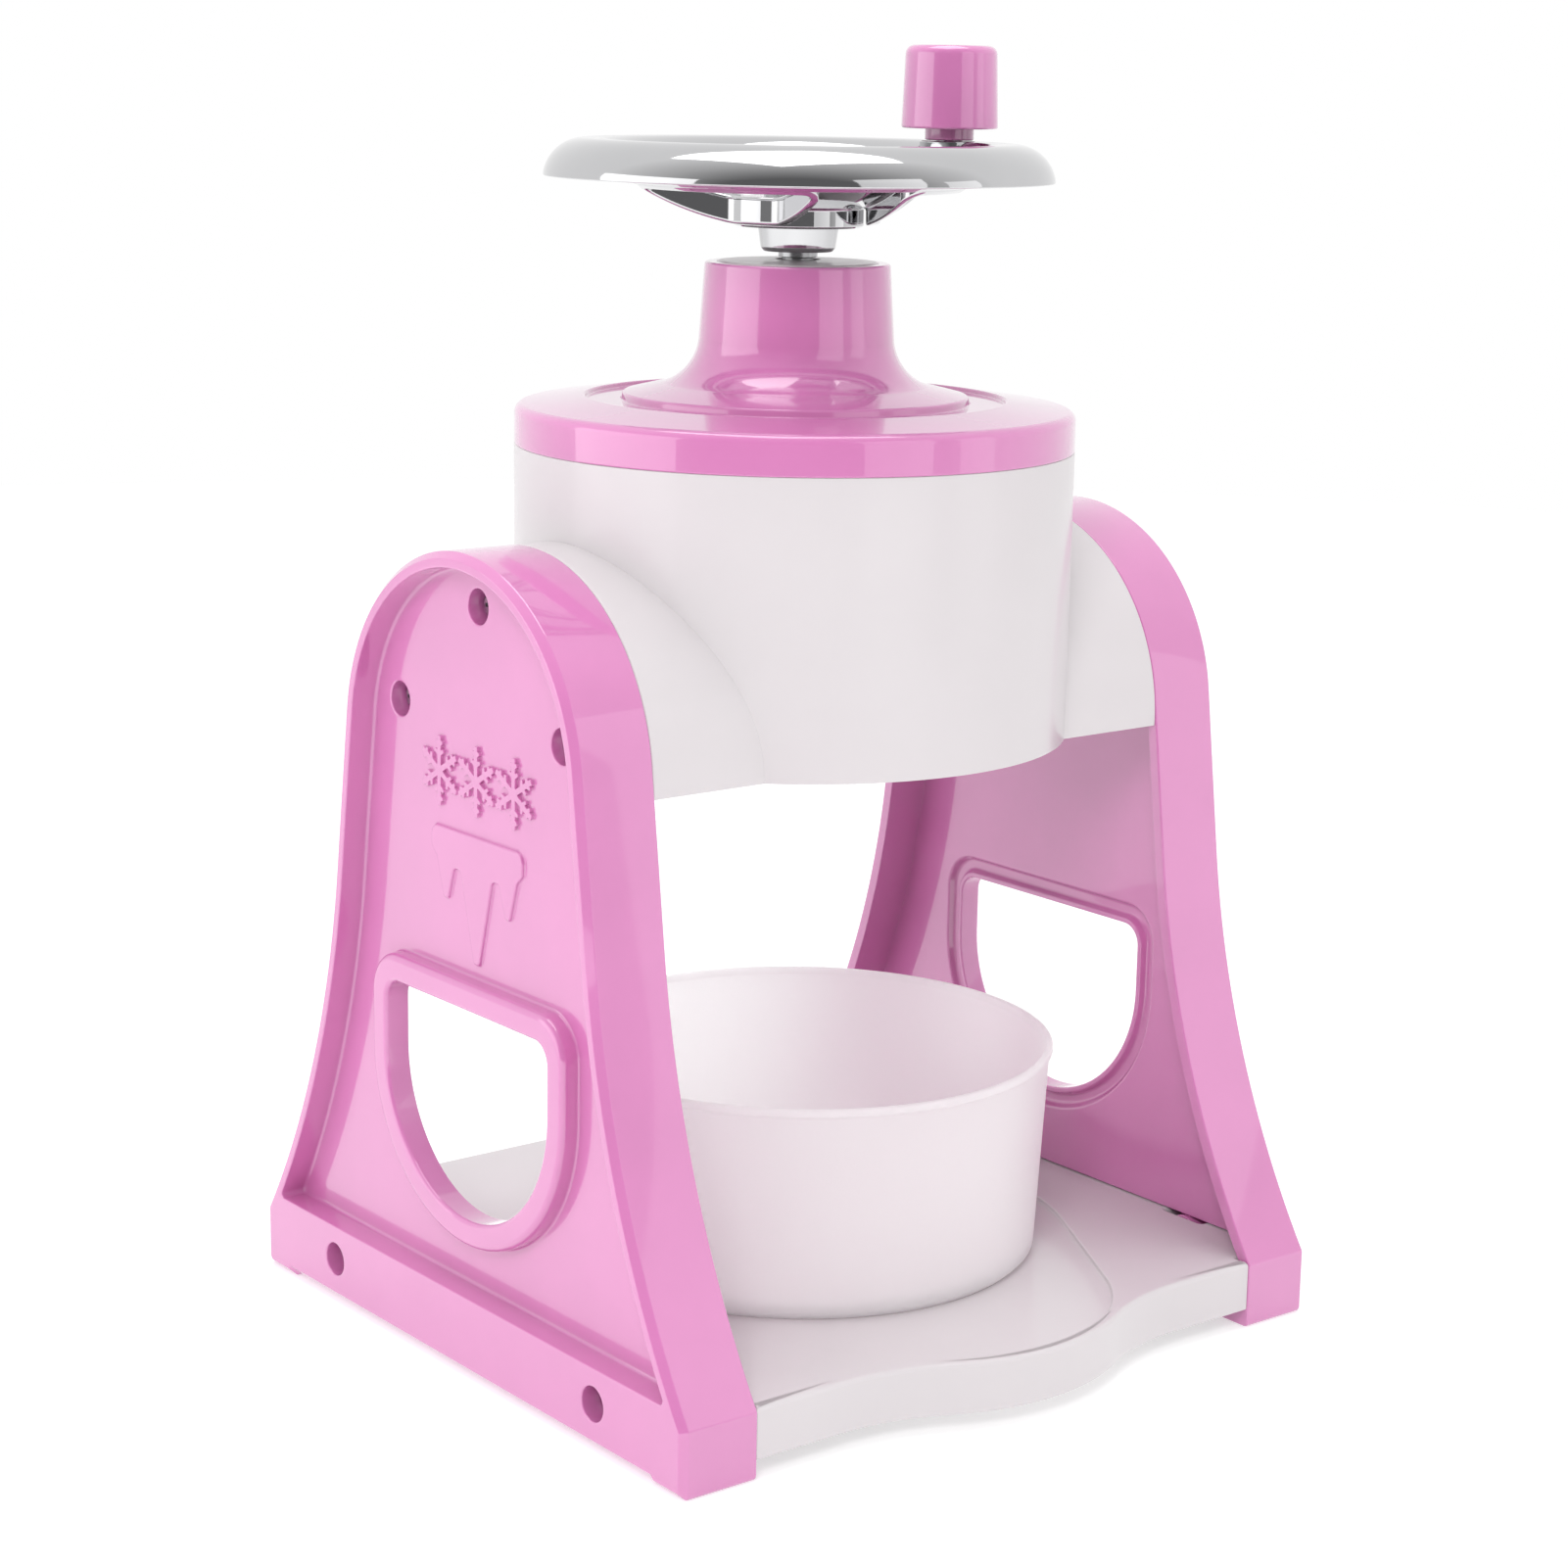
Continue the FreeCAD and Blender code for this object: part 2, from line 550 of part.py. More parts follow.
def bowl():
    """Tapered bowl with a beaded rim and a short foot."""
    foot = BASE_TOP - SEAT_DEPTH
    bead = 1.6
    cup = turned([
        (0, foot + 0.8), (BOWL_FOOT_R - 6, foot + 0.8), (BOWL_FOOT_R - 6, foot), (BOWL_FOOT_R - 1.6, foot),
        (BOWL_FOOT_R, foot + 1.6), (BOWL_RIM_R - 0.6, BOWL_TOP - bead - 0.5), (BOWL_RIM_R, BOWL_TOP - bead),
        (BOWL_RIM_R + 0.2, BOWL_TOP - 0.5), (BOWL_RIM_R - 0.3, BOWL_TOP), (BOWL_RIM_R - BOWL_WALL, BOWL_TOP),
        (BOWL_RIM_R - BOWL_WALL - 0.4, BOWL_TOP - bead), (BOWL_FOOT_R - BOWL_WALL - 0.2, foot + 6),
        Mid((BOWL_FOOT_R - BOWL_WALL - 1.6, foot + 3.6)), (BOWL_FOOT_R - BOWL_WALL - 4, foot + 2.6),
        (0, foot + 2.6)])
    cup.translate(Vector(0, BOWL_Y, 0))
    return cup


# ---- Lid and feed nut ----
def lid():
    """Cap with a ring groove, a flared neck, and a collar that centres it in the chamber."""
    groove_z = LID_TOP - 1.0
    ceiling_z = LID_TOP - 3.5
    cap = turned([
        (LID_R, RIM_Z), (LID_R, LID_EDGE_Z - 0.6), Mid((LID_R - 0.2, LID_EDGE_Z - 0.15)),
        (LID_R - 0.7, LID_EDGE_Z + 0.1), (LID_GROOVE[1] + 0.4, LID_TOP), (LID_GROOVE[1], groove_z),
        (LID_GROOVE[0], groove_z), (LID_GROOVE[0] - 0.4, LID_TOP + 0.7), (31.0, 221.3), Mid((25.5, 224.9)),
        (22.6, 231.5), (NECK_R, NECK_TOP - 0.8), Mid((NECK_R - 0.2, NECK_TOP - 0.2)),
        (NECK_R - 0.7, NECK_TOP), (MOUTH_R, NECK_TOP), (MOUTH_R, NUT_SEAT_Z), (NUT_SEAT_R, NUT_SEAT_Z),
        (NUT_SEAT_R, NUT_SEAT_Z - 4), Mid((18.5, 221.5)), (26.0, 218.0), (38.0, ceiling_z),
        (57.0, ceiling_z), (LID_COLLAR[0], ceiling_z - 1.5),
        (LID_COLLAR[0], LID_COLLAR_LOW), (LID_COLLAR[1], LID_COLLAR_LOW), (LID_COLLAR[1], RIM_Z)])
    keys = [box((side * 60.4 - 2, -KEY_W / 2, LID_COLLAR_LOW), (side * 60.4 + 2, KEY_W / 2, RIM_Z))
            for side in (-1, 1)]
    ring = Part.makeCylinder(LID_COLLAR[1] + 1.6, 20, Vector(0, 0, LID_COLLAR_LOW - 4))
    return fused([cap] + [key.common(ring) for key in keys])


def feed_nut():
    """Plastic nut fixed in the neck; the lead screw runs in its bore."""
    bore_r = SCREW_R + THREAD_CLEAR
    outer_r = MOUTH_R - 0.05
    crown_z = NECK_TOP + NUT_CROWN
    body = turned([
        (bore_r, NUT_LOW_Z), (NUT_STEM_R, NUT_LOW_Z), (NUT_STEM_R, NUT_SEAT_Z), (12.0, NUT_SEAT_Z),
        (outer_r, NUT_SEAT_Z), (outer_r, NECK_TOP), (outer_r - 0.7, NECK_TOP + 0.3),
        (8.0, crown_z), (5.4, crown_z), (bore_r, crown_z - 0.7)])
    room = turned([(11.0, NUT_SEAT_Z - 1), (16.4, NUT_SEAT_Z - 1), (16.4, NECK_TOP - 2.0),
                   (11.0, NECK_TOP - 2.0)])
    webs = []
    for turn in (0, 60, 120):
        web = box((-17, -0.8, NUT_SEAT_Z), (17, 0.8, NECK_TOP))
        web.rotate(Vector(0, 0, 0), Vector(0, 0, 1), turn)
        webs.append(web)
    return body.cut(room.cut(fused(webs)))


# ---- Screw, gripper and their fasteners ----
def drive_shaft():
    """Lead screw: right-hand thread on a core, plain spindles with flats at both ends."""
    core = turned([
        (0, SHAFT_LOW), (SPINDLE_R - 0.5, SHAFT_LOW), (SPINDLE_R, SHAFT_LOW + 0.5),
        (SPINDLE_R, SHAFT_LOW_SHOULDER),
        (SCREW_R, SHAFT_LOW_SHOULDER), (SCREW_R, THREAD_Z[0] - 3), (CORE_R, THREAD_Z[0] - 2),
        (CORE_R, THREAD_Z[1] - 0.3), (SCREW_R, THREAD_Z[1]), (SCREW_R, SHAFT_TOP_SHOULDER),
        (SPINDLE_R, SHAFT_TOP_SHOULDER), (SPINDLE_R, SHAFT_TOP - 0.5), (SPINDLE_R - 0.5, SHAFT_TOP),
        (0, SHAFT_TOP)])
    root = THREAD_Z[0]
    helix = Part.makeHelix(PITCH, THREAD_Z[1] - root - 2, CORE_R - 0.1)
    helix.translate(Vector(0, 0, root))
    ridge = closed_wire([(CORE_R - 0.15, root - 1.05), (SCREW_R, root - 0.6),
                         (SCREW_R, root + 0.6), (CORE_R - 0.15, root + 1.05)], in_xz)
    thread = Part.Wire(helix.Edges).makePipeShell([ridge], True, True)
    return core.fuse(thread)


def hex_nut(flats, thickness, hole_r, z):
    corners = [(flats / math.sqrt(3) * math.cos(math.radians(60 * k)),
                flats / math.sqrt(3) * math.sin(math.radians(60 * k))) for k in range(6)]
    body = prism(closed_wire(corners, in_xy), z, thickness)
    half = flats / 2
    rounding = turned([(0, z - 1), (half + 0.6, z - 1), (half + 0.6, z), (half + 0.9, z + 0.5),
                       (half + 0.9, z + thickness - 0.5), (half - 0.1, z + thickness), (0, z + thickness)])
    return body.common(rounding).cut(Part.makeCylinder(hole_r, thickness + 2, Vector(0, 0, z - 1)))


def washer(inner_r, outer_r, z, thickness):
    return turned([(inner_r, z), (outer_r, z), (outer_r, z + thickness), (inner_r, z + thickness)])


def spike_places():
    """Spikes in two rings, the outer one with twice as many."""
    places = []
    for ring_r, count, start in ((22.0, 6, 0.0), (43.0, 12, 15.0)):
        for k in range(count):
            angle = math.radians(start + 360.0 * k / count)
            places.append((ring_r * math.cos(angle), ring_r * math.sin(angle)))
    return places


def gripper_disc():
    """Disc that presses on the ice, stiffened by a rim and ribs on its upper side."""
    top = GRIP_Z + GRIP_T
    disc = turned([
        (SPINDLE_R, GRIP_Z), (GRIP_R - 0.6, GRIP_Z), (GRIP_R, GRIP_Z + 0.6), (GRIP_R, top + 1.5),
        (GRIP_R - 2.0, top + 1.5), (GRIP_R - 2.4, GRIP_Z + 2.2), (12.0, GRIP_Z + 2.2), (9.0, GRIP_HUB_TOP),
        (SPINDLE_R, GRIP_HUB_TOP)])
    ribs = []
    for k in range(6):
        rib = box((8, -0.9, GRIP_Z + 1), (GRIP_R - 1, 0.9, top))
        rib.rotate(Vector(0, 0, 0), Vector(0, 0, 1), 60 * k + 30)
        ribs.append(rib)
    holes = [Part.makeCylinder(1.2, 3, Vector(x, y, GRIP_Z - 1)) for x, y in spike_places()]
    return fused([disc] + ribs).cut(Part.makeCompound(holes))


def gripper_spikes():
    spikes = []
    for x, y in spike_places():
        point = Part.makeCone(0.25, 1.6, GRIP_Z - SPIKE_TIP, Vector(x, y, SPIKE_TIP))
        stub = Part.makeCylinder(1.2, 2.0, Vector(x, y, GRIP_Z))
        spikes.append(point.fuse(stub))
    return Part.makeCompound(spikes)


# ---- Handwheel and knob ----
def window_sector(margin):
    """Plan of one opening of the wheel's dish, shrunk by a margin."""
    low_r = OPENING_R[0] + margin
    high_r = OPENING_R[1] - margin
    half = math.radians(360 / SPOKES / 2)
    lane = SPOKE_HALF + margin

    def on_spoke(radius):
        angle = half - math.asin(lane / radius)
        return (radius * math.cos(angle), radius * math.sin(angle))

    near = on_spoke(low_r)
    far = on_spoke(high_r)
    return closed_wire([near, far, Mid((high_r, 0.0)), (far[0], -far[1]), (near[0], -near[1]),
                        Mid((low_r, 0.0))], in_xy)


def around(shape, start):
    """Three copies, one for each opening of the wheel."""
    copies = []
    for k in range(SPOKES):
        turned_copy = shape.copy()
        turned_copy.rotate(Vector(0, 0, 0), Vector(0, 0, 1), start + 360 / SPOKES * k)
        copies.append(turned_copy)
    return copies


def handwheel():
    """Rounded rim shell, a dish of three broad channelled spokes, and a hub."""
    rim = turned([
        (WHEEL_R, WHEEL_LOW), Mid((55.6, 274.0)), (47.5, WHEEL_CREST), Mid((41.6, 275.2)), (37.0, 271.6),
        (37.0, 269.2), (38.6, 269.2), Mid((42.6, 273.2)), (47.5, WHEEL_CREST - WHEEL_SHELL),
        Mid((54.2, 272.7)), (WHEEL_R - WHEEL_SHELL, WHEEL_LOW)])
    dish = turned([
        (HUB_R - 3, 263.0), Mid((26.0, 266.6)), (38.6, 271.8), (39.4, 267.2), Mid((27.0, 260.9)),
        (HUB_R, HUB_LOW), (HUB_R - 3, HUB_LOW)])
    openings = []
    for opening in around(prism(window_sector(0.0), 250, 40), OPENING_TURN):
        corners = [e for e in opening.Edges if e.BoundBox.ZLength > 30]
        openings.append(opening.makeFillet(3.0, corners))
    borders = []
    for border in around(prism(window_sector(-WHEEL_SHELL), 250, 40), OPENING_TURN):
        corners = [e for e in border.Edges if e.BoundBox.ZLength > 30]
        borders.append(border.makeFillet(3.0 + WHEEL_SHELL, corners))
    channel = turned([
        (HUB_R + 1, 255.0), (HUB_R + 1, 261.7), Mid((26.0, 264.9)), (37.4, 269.6), (37.4, 255.0)])
    channel = channel.cut(fused(borders))
    hub = Part.makeCylinder(HUB_R, HUB_TOP - HUB_LOW, Vector(0, 0, HUB_LOW))
    pad = Part.makeCylinder(KNOB_PAD_R, KNOB_PAD_TOP - KNOB_PAD_LOW, Vector(KNOB_X, 0, KNOB_PAD_LOW))
    bore = Part.makeCylinder(SPINDLE_R, 20, Vector(0, 0, 250))
    pin_hole = Part.makeCylinder(KNOB_BOLT_R, 20, Vector(KNOB_X, 0, KNOB_PAD_LOW - 5))
    wheel = fused([rim, dish.cut(channel), hub, pad])
    return wheel.cut(fused(openings)).cut(bore.fuse(pin_hole))


def hub_collar():
    low = SHAFT_TOP_SHOULDER
    return turned([(SPINDLE_R, low), (7.9, low), (8.6, low + 0.7), (9.3, HUB_LOW), (SPINDLE_R, HUB_LOW)])


def wheel_nut():
    """Domed cap nut on top of the shaft."""
    low = HUB_TOP + WHEEL_WASHER_T
    centre = low + 4.0
    radius = 4.7
    slant = radius * math.sqrt(0.5)
    body = hex_nut(10.0, 4.0, SPINDLE_R, low)
    dome = turned([(0, low + 5.6), (SPINDLE_R, low + 5.6), (SPINDLE_R, low + 3.5), (radius, low + 3.5),
                   (radius, centre), Mid((slant, centre + slant)), (0, centre + radius)])
    return fused([body, dome])


def knob_spindle():
    """Shouldered pin bolted to the rim, with a snap head inside the knob."""
    pin = turned([
        (0, KNOB_PAD_LOW - 2.8), (KNOB_BOLT_R, KNOB_PAD_LOW - 2.8), (KNOB_BOLT_R, KNOB_PAD_TOP),
        (KNOB_PIN_R, KNOB_PAD_TOP), (KNOB_PIN_R, 291.0), (3.6, 291.6), (3.6, 292.6), (2.4, 294.4),
        (0, 294.4)])
    pin.translate(Vector(KNOB_X, 0, 0))
    return pin


def crank_knob():
    """Slightly tapered knob with a stem; it turns on its spindle."""
    knob = turned([
        (KNOB_BORE_R, KNOB_STEM_LOW), (KNOB_STEM_R, KNOB_STEM_LOW), (KNOB_STEM_R, 293.5), (9.0, 293.5),
        (9.4, KNOB_LOW), (KNOB_R - 0.4, KNOB_LOW), (KNOB_R, KNOB_LOW + 0.4), (10.8, KNOB_TOP - 2.2),
        Mid((10.2, KNOB_TOP - 0.7)), (8.7, KNOB_TOP), (0, KNOB_TOP), (0, 295.2), (3.75, 295.2),
        (3.75, 291.5), (KNOB_BORE_R, 290.9)])
    knob.translate(Vector(KNOB_X, 0, 0))
    return knob


def moved_to_knob(shape):
    shape.translate(Vector(KNOB_X, 0, 0))
    return shape


def right_screws(places, seat_x, length):
    return Part.makeCompound([tapping_screw(y, z, seat_x, length) for y, z in places])


os.makedirs("parts", exist_ok=True)

panel = side_panel()
hopper_screws = right_screws(SCREW_HOLES, HOPPER_SEAT_X, HOPPER_SCREW_LEN)
base_screws = right_screws(FOOT_SCREWS, BASE_SEAT_X, BASE_SCREW_LEN)
for side_name, place in (("left", lambda s: mirrored(s, (1, 0, 0))), ("right", lambda s: s)):
    export("side_panel_" + side_name, place(panel))
    export("hopper_screws_" + side_name, place(hopper_screws))
    export("base_screws_" + side_name, place(base_screws))

for part_name, part_shape in hopper_parts().items():
    export(part_name, part_shape)
export("shaving_blade", shaving_blade())
export("blade_clamp", blade_clamp())
export("blade_screws", blade_screws())
export("base_plate", base_plate())
export("bowl", bowl())
export("lid", lid())
export("feed_nut", feed_nut())
export("drive_shaft", drive_shaft())
export("stop_washer", washer(SPINDLE_R + 0.1, 9.5, GRIP_HUB_TOP + 0.1, 2.0))
export("gripper_disc", gripper_disc())
export("gripper_spikes", gripper_spikes())
export("gripper_washer", washer(SPINDLE_R, 8.0, GRIP_Z - 1.6, 1.6))
export("gripper_nut", hex_nut(10.0, 4.0, SPINDLE_R, GRIP_Z - 5.6))
export("handwheel", handwheel())
export("hub_collar", hub_collar())
export("wheel_washer", washer(SPINDLE_R, 8.0, HUB_TOP, WHEEL_WASHER_T))
export("wheel_nut", wheel_nut())
export("crank_knob", crank_knob())
export("knob_spindle", knob_spindle())
export("knob_nut", moved_to_knob(hex_nut(8.0, 2.4, KNOB_BOLT_R, KNOB_PAD_LOW - 2.4)))
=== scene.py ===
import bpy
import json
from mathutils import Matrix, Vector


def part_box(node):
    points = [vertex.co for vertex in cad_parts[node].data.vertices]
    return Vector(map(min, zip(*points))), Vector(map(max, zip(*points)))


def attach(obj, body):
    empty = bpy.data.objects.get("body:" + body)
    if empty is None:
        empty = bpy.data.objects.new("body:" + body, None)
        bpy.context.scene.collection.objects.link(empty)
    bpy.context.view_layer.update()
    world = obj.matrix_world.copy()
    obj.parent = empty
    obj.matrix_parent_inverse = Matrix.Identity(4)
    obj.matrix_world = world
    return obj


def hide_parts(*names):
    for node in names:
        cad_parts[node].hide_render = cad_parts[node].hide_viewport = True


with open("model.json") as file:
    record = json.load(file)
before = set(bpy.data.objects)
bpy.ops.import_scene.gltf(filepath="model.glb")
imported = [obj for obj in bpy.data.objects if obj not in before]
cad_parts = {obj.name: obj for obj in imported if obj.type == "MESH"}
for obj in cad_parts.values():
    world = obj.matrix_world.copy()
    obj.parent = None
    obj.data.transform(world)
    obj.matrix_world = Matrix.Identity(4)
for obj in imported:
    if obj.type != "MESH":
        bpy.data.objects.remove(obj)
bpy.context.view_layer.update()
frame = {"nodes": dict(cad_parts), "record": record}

import bmesh
import bpy
import json
import math
from mathutils import Matrix, Vector

# Hand-cranked ice shaver. Meshes are drawn in millimetres about the vertical axis of the ice
# chamber, and made() puts them into the row frame, in metres.
MM = 0.001
RIM_DROP = 8.6                  # the wheel's highest point stands so far above the lower edge of its rim


def cad(node):
    """Lowest and highest corner of a CAD node, in millimetres."""
    low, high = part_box(node)
    return low / MM, high / MM


# ---- Sizes read from the frame ----
HOPPER_LOW, HOPPER_HIGH = cad("hopper")
WING_LOW, WING_HIGH = cad("hopper_wing_right")
LID_LOW, LID_HIGH = cad("lid")
PANEL_LOW, PANEL_HIGH = cad("side_panel_right")
BASE_LOW, BASE_HIGH = cad("base_plate")
BOWL_LOW, BOWL_HIGH = cad("bowl")
NUT_LOW, NUT_HIGH = cad("feed_nut")
COLLAR_LOW, COLLAR_HIGH = cad("hub_collar")
WHEEL_HIGH = cad("handwheel")[1]
CAP_LOW = cad("wheel_nut")[0]
KNOB_LOW, KNOB_HIGH = cad("crank_knob")

AXIS_Y = (HOPPER_LOW.y + HOPPER_HIGH.y) / 2    # chamber axis in the row frame
OUTER_X = PANEL_HIGH.x
INNER_X = PANEL_LOW.x
FOOT_HALF = (PANEL_HIGH.y - PANEL_LOW.y) / 2
CHAMBER_Z = WING_LOW.z
RIM_Z = HOPPER_HIGH.z
SPIGOT_X = WING_HIGH.x
LID_R = (LID_HIGH.x - LID_LOW.x) / 2
BASE_TOP = BASE_HIGH.z
BASE_UNDER = BASE_LOW.z
BASE_FRONT = AXIS_Y - BASE_LOW.y
BASE_HALF = BASE_HIGH.y - AXIS_Y
WHEEL_RIM_Z = WHEEL_HIGH.z - RIM_DROP
BOWL_Y = (BOWL_LOW.y + BOWL_HIGH.y) / 2 - AXIS_Y
KNOB_X = (KNOB_LOW.x + KNOB_HIGH.x) / 2
KNOB_TOP = KNOB_HIGH.z

# ---- Sizes that the boxes don't tell, millimetres ----
ARCH_R = 47.5                   # round top of the panels, and of the wings between them
ARCH_Z = PANEL_HIGH.z - ARCH_R
LEAN = 7.5                      # degrees, slope of the panel's sides
FLARE_Z = 108.0
FOOT_SIDE_H = 15.5
SOLE_Y = FOOT_HALF - 12.0       # the sole is raised between its two ends
SOLE_RAISE = 1.0
BEVEL = 1.6
FLANGE_OUT = 3.6                # thickness of the flange round the outer and the inner recess
FLANGE_IN = 3.0
WEB_OUT = 87.4                  # outer and inner face of the thin web
WEB_IN = 85.4
LEDGE_Z = 19.2                  # lower end of the outer recess
INNER_LEDGE_Z = 4.2
FOOT_ROOM = (83.2, 4.65, 16.7)  # half length and heights of the room for the base's end
FOOT_ROOM_X = 91.0
WINDOW_HALF = 33.0
WINDOW_TOP = 85.7
WINDOW_Z = 69.5
WINDOW_COLLAR_X = 91.8          # outer face of the window's collar
GROOVE_X = WEB_IN + 1.8         # bottom of the groove round the window's inner side
SCREW_HOLES = [(0.0, 176.6), (-32.5, 151.0), (32.5, 151.0)]
FOOT_SCREWS = [(-54.0, 10.9), (54.0, 10.9)]
HEAD_R = 4.0                    # counterbore, screw hole and boss of each screw
SHANK_R = 1.8
BOSS_R = 5.5
SCREW_SEAT_X = 82.0             # where the screw heads bear, in the web and in the foot
FOOT_SEAT_X = 86.5
EMBLEM_H = 0.8                  # raised emblem: a row of snowflakes above an icicle
FLAKE_Z = 137.5
FLAKE_R = 8.0
FLAKE_STEP = 15.0
ICICLE_TOP = 125.0
ICICLE_HALF = 18.5
ICICLE_CAP = 9.0
ICICLE_TIP = 95.5
ICICLE_STEM = 6.5
DRIP_TIP = 108.5
CHAMBER_BORE = 61.5
KEYWAY_HALF = 4.3               # keyways of the bore, and the keys of the lid's collar in them
KEYWAY_DEEP = 1.6
KEYWAY_Z = 196.0
KEY_HALF = 4.0
LID_COLLAR_R = 61.2
FLOOR_Z = CHAMBER_Z + 5.0
SLOT_X = (8.5, 57.5)            # shaving slot in the chamber's floor
SLOT_BACK = 7.0
SLOT_LOW_FRONT = -11.2          # its front slopes, from the underside to the floor
SLOT_TOP_FRONT = -0.4
SPIGOT_R = 44.2                 # wings: end that fits into a panel, room inside and wall thickness
ROOM_R = 45.0
ROOM_X = 72.05
WALL = 2.6
WALL_STEPS = 64                 # columns of the chamber wall between one wing and the other
WALL_ROWS = 8
TONGUE_HALF = 82.5              # the base's ends reach into the feet as tongues, round the screws
TONGUE_X = 90.6
GAP_X = 84.4
GAP_Y = (47.8, 60.2)
RIB_CELLS_X = ((-81.0, -45.9), (-44.1, -0.9), (0.9, 44.1), (45.9, 81.0))
RIB_CELLS_Y = ((-82.4, -58.5), (-49.5, -0.9), (0.9, 49.5), (58.5, 82.4))
SEAT_R = 66.5                   # sunk seat of the bowl, and its narrower front
SEAT_FRONT_R = 45.0
SEAT_FRONT_Y = -52.0
NUT_FLAT = 5.0                  # cap nut: half its width across the flats, and its dome
DOME_R = 4.7


# ---- Mesh helpers ----
def made(name, bm, centre=(0.0, 0.0), sharp=38.0):
    """Object from a bmesh drawn in millimetres, smooth except at edges sharper than an angle."""
    bmesh.ops.remove_doubles(bm, verts=bm.verts, dist=0.002)
    bmesh.ops.recalc_face_normals(bm, faces=bm.faces)
    mesh = bpy.data.meshes.new(name)
    bm.to_mesh(mesh)
    bm.free()
    shift = Vector((centre[0], centre[1] + AXIS_Y, 0)) * MM
    mesh.transform(Matrix.Translation(shift) @ Matrix.Scale(MM, 4))
    mesh.shade_smooth()
    mesh.set_sharp_from_angle(angle=math.radians(sharp))
    piece = bpy.data.objects.new(name, mesh)
    bpy.context.scene.collection.objects.link(piece)
    weigh = piece.modifiers.new("even_shading", "WEIGHTED_NORMAL")
    weigh.keep_sharp = True
    weigh.weight = 95
    return piece


def arc(centre, radius, start, end, steps):
    """Points on an arc, angles in degrees."""
    angles = [math.radians(start + (end - start) * k / steps) for k in range(steps + 1)]
    return [(centre[0] + radius * math.cos(a), centre[1] + radius * math.sin(a)) for a in angles]


def circle(centre, radius, steps=56):
    return arc(centre, radius, 0, 360, steps)[:-1]


def in_plan(line):
    """Plan points of (radius, angle in radians) pairs."""
    return [(r * math.cos(a), r * math.sin(a)) for r, a in line]


def sharp_points(points):
    """Corners without rounding."""
    return [(u, v, 0) for u, v in points]


def through(first, middle, last):
    """Centre and radius of the circle through three points."""
    (ax, ay), (bx, by), (cx, cy) = first, middle, last
    scale = 2 * (ax * (by - cy) + bx * (cy - ay) + cx * (ay - by))
    a2, b2, c2 = ax * ax + ay * ay, bx * bx + by * by, cx * cx + cy * cy
    x = (a2 * (by - cy) + b2 * (cy - ay) + c2 * (ay - by)) / scale
    y = (a2 * (cx - bx) + b2 * (ax - cx) + c2 * (bx - ax)) / scale
    return (x, y), math.hypot(ax - x, ay - y)


def swept(first, middle, last, steps=12):
    """Points with no rounding of their own along the arc through three points."""
    (x, y), radius = through(first, middle, last)
    start = math.atan2(first[1] - y, first[0] - x)
    sweep = math.atan2(last[1] - y, last[0] - x) - start
    halfway = math.atan2(middle[1] - y, middle[0] - x) - start
    sweep %= 2 * math.pi
    if halfway % (2 * math.pi) > sweep:
        sweep -= 2 * math.pi
    turns = [start + sweep * k / steps for k in range(steps + 1)]
    return [(x + radius * math.cos(turn), y + radius * math.sin(turn), 0) for turn in turns]


def rounded(corners, closed=True, steps=5):
    """Polyline through (u, v, radius) corners, each one rounded by an arc of its radius."""
    line = []
    count = len(corners)
    for k, (u, v, radius) in enumerate(corners):
        if radius <= 0 or (not closed and k in (0, count - 1)):
            line.append((u, v))
            continue
        here = Vector((u, v))
        before = Vector(corners[k - 1][:2]) - here
        after = Vector(corners[(k + 1) % count][:2]) - here
        half = before.angle(after) / 2
        reach = min(radius / math.tan(half), before.length * 0.49, after.length * 0.49)
        radius = reach * math.tan(half)
        inwards = (before.normalized() + after.normalized()).normalized()
        heart = here + inwards * (radius / math.sin(half))
        start = here + before.normalized() * reach - heart
        end = here + after.normalized() * reach - heart
        first = math.atan2(start.y, start.x)
        sweep = (math.atan2(end.y, end.x) - first + math.pi) % (2 * math.pi) - math.pi
        for step in range(steps + 1):
            turn = first + sweep * step / steps
            line.append((heart.x + radius * math.cos(turn), heart.y + radius * math.sin(turn)))
    return line


def offset(loop, distance):
    """Closed counter-clockwise outline moved outwards by a distance."""
    moved = []
    count = len(loop)
    for k in range(count):
        before = (Vector(loop[k]) - Vector(loop[k - 1])).normalized()
        after = (Vector(loop[(k + 1) % count]) - Vector(loop[k])).normalized()
        normal = Vector((before.y + after.y, -before.x - after.x)).normalized()
        stretch = distance / max(0.35, normal.dot(Vector((after.y, -after.x))))
        moved.append((loop[k][0] + normal.x * stretch, loop[k][1] + normal.y * stretch))
    return moved


def on_top(u, v, depth):
    """Place for outlines in plan, with their depth along Z."""
    return (u, v, depth)


def ring(bm, loop, depth, place):
    """Vertices of a loop at a depth."""
    return [bm.verts.new(place(u, v, depth)) for u, v in loop]


def bridge(bm, near, far, closed=True):
    """Faces between two rows of as many vertices."""
    for k in range(len(near) if closed else len(near) - 1):
        follow = (k + 1) % len(near)
        bm.faces.new((near[k], near[follow], far[follow], far[k]))


def stack(bm, shape, profile, place):
    """Walls that follow a (growth, depth) profile round shape(growth); returns both end rings."""
    rings = [ring(bm, shape(grow), depth, place) for grow, depth in profile]
    for near, far in zip(rings, rings[1:]):
        bridge(bm, near, far)
    return rings[0], rings[-1]


def fill(bm, *rings):
    """Flat face inside the first ring and outside the others."""
    edges = []
    for verts in rings:
        for k in range(len(verts)):
            ends = (verts[k - 1], verts[k])
            edges.append(bm.edges.get(ends) or bm.edges.new(ends))
    bmesh.ops.triangle_fill(bm, edges=edges, use_beauty=True, use_dissolve=False)


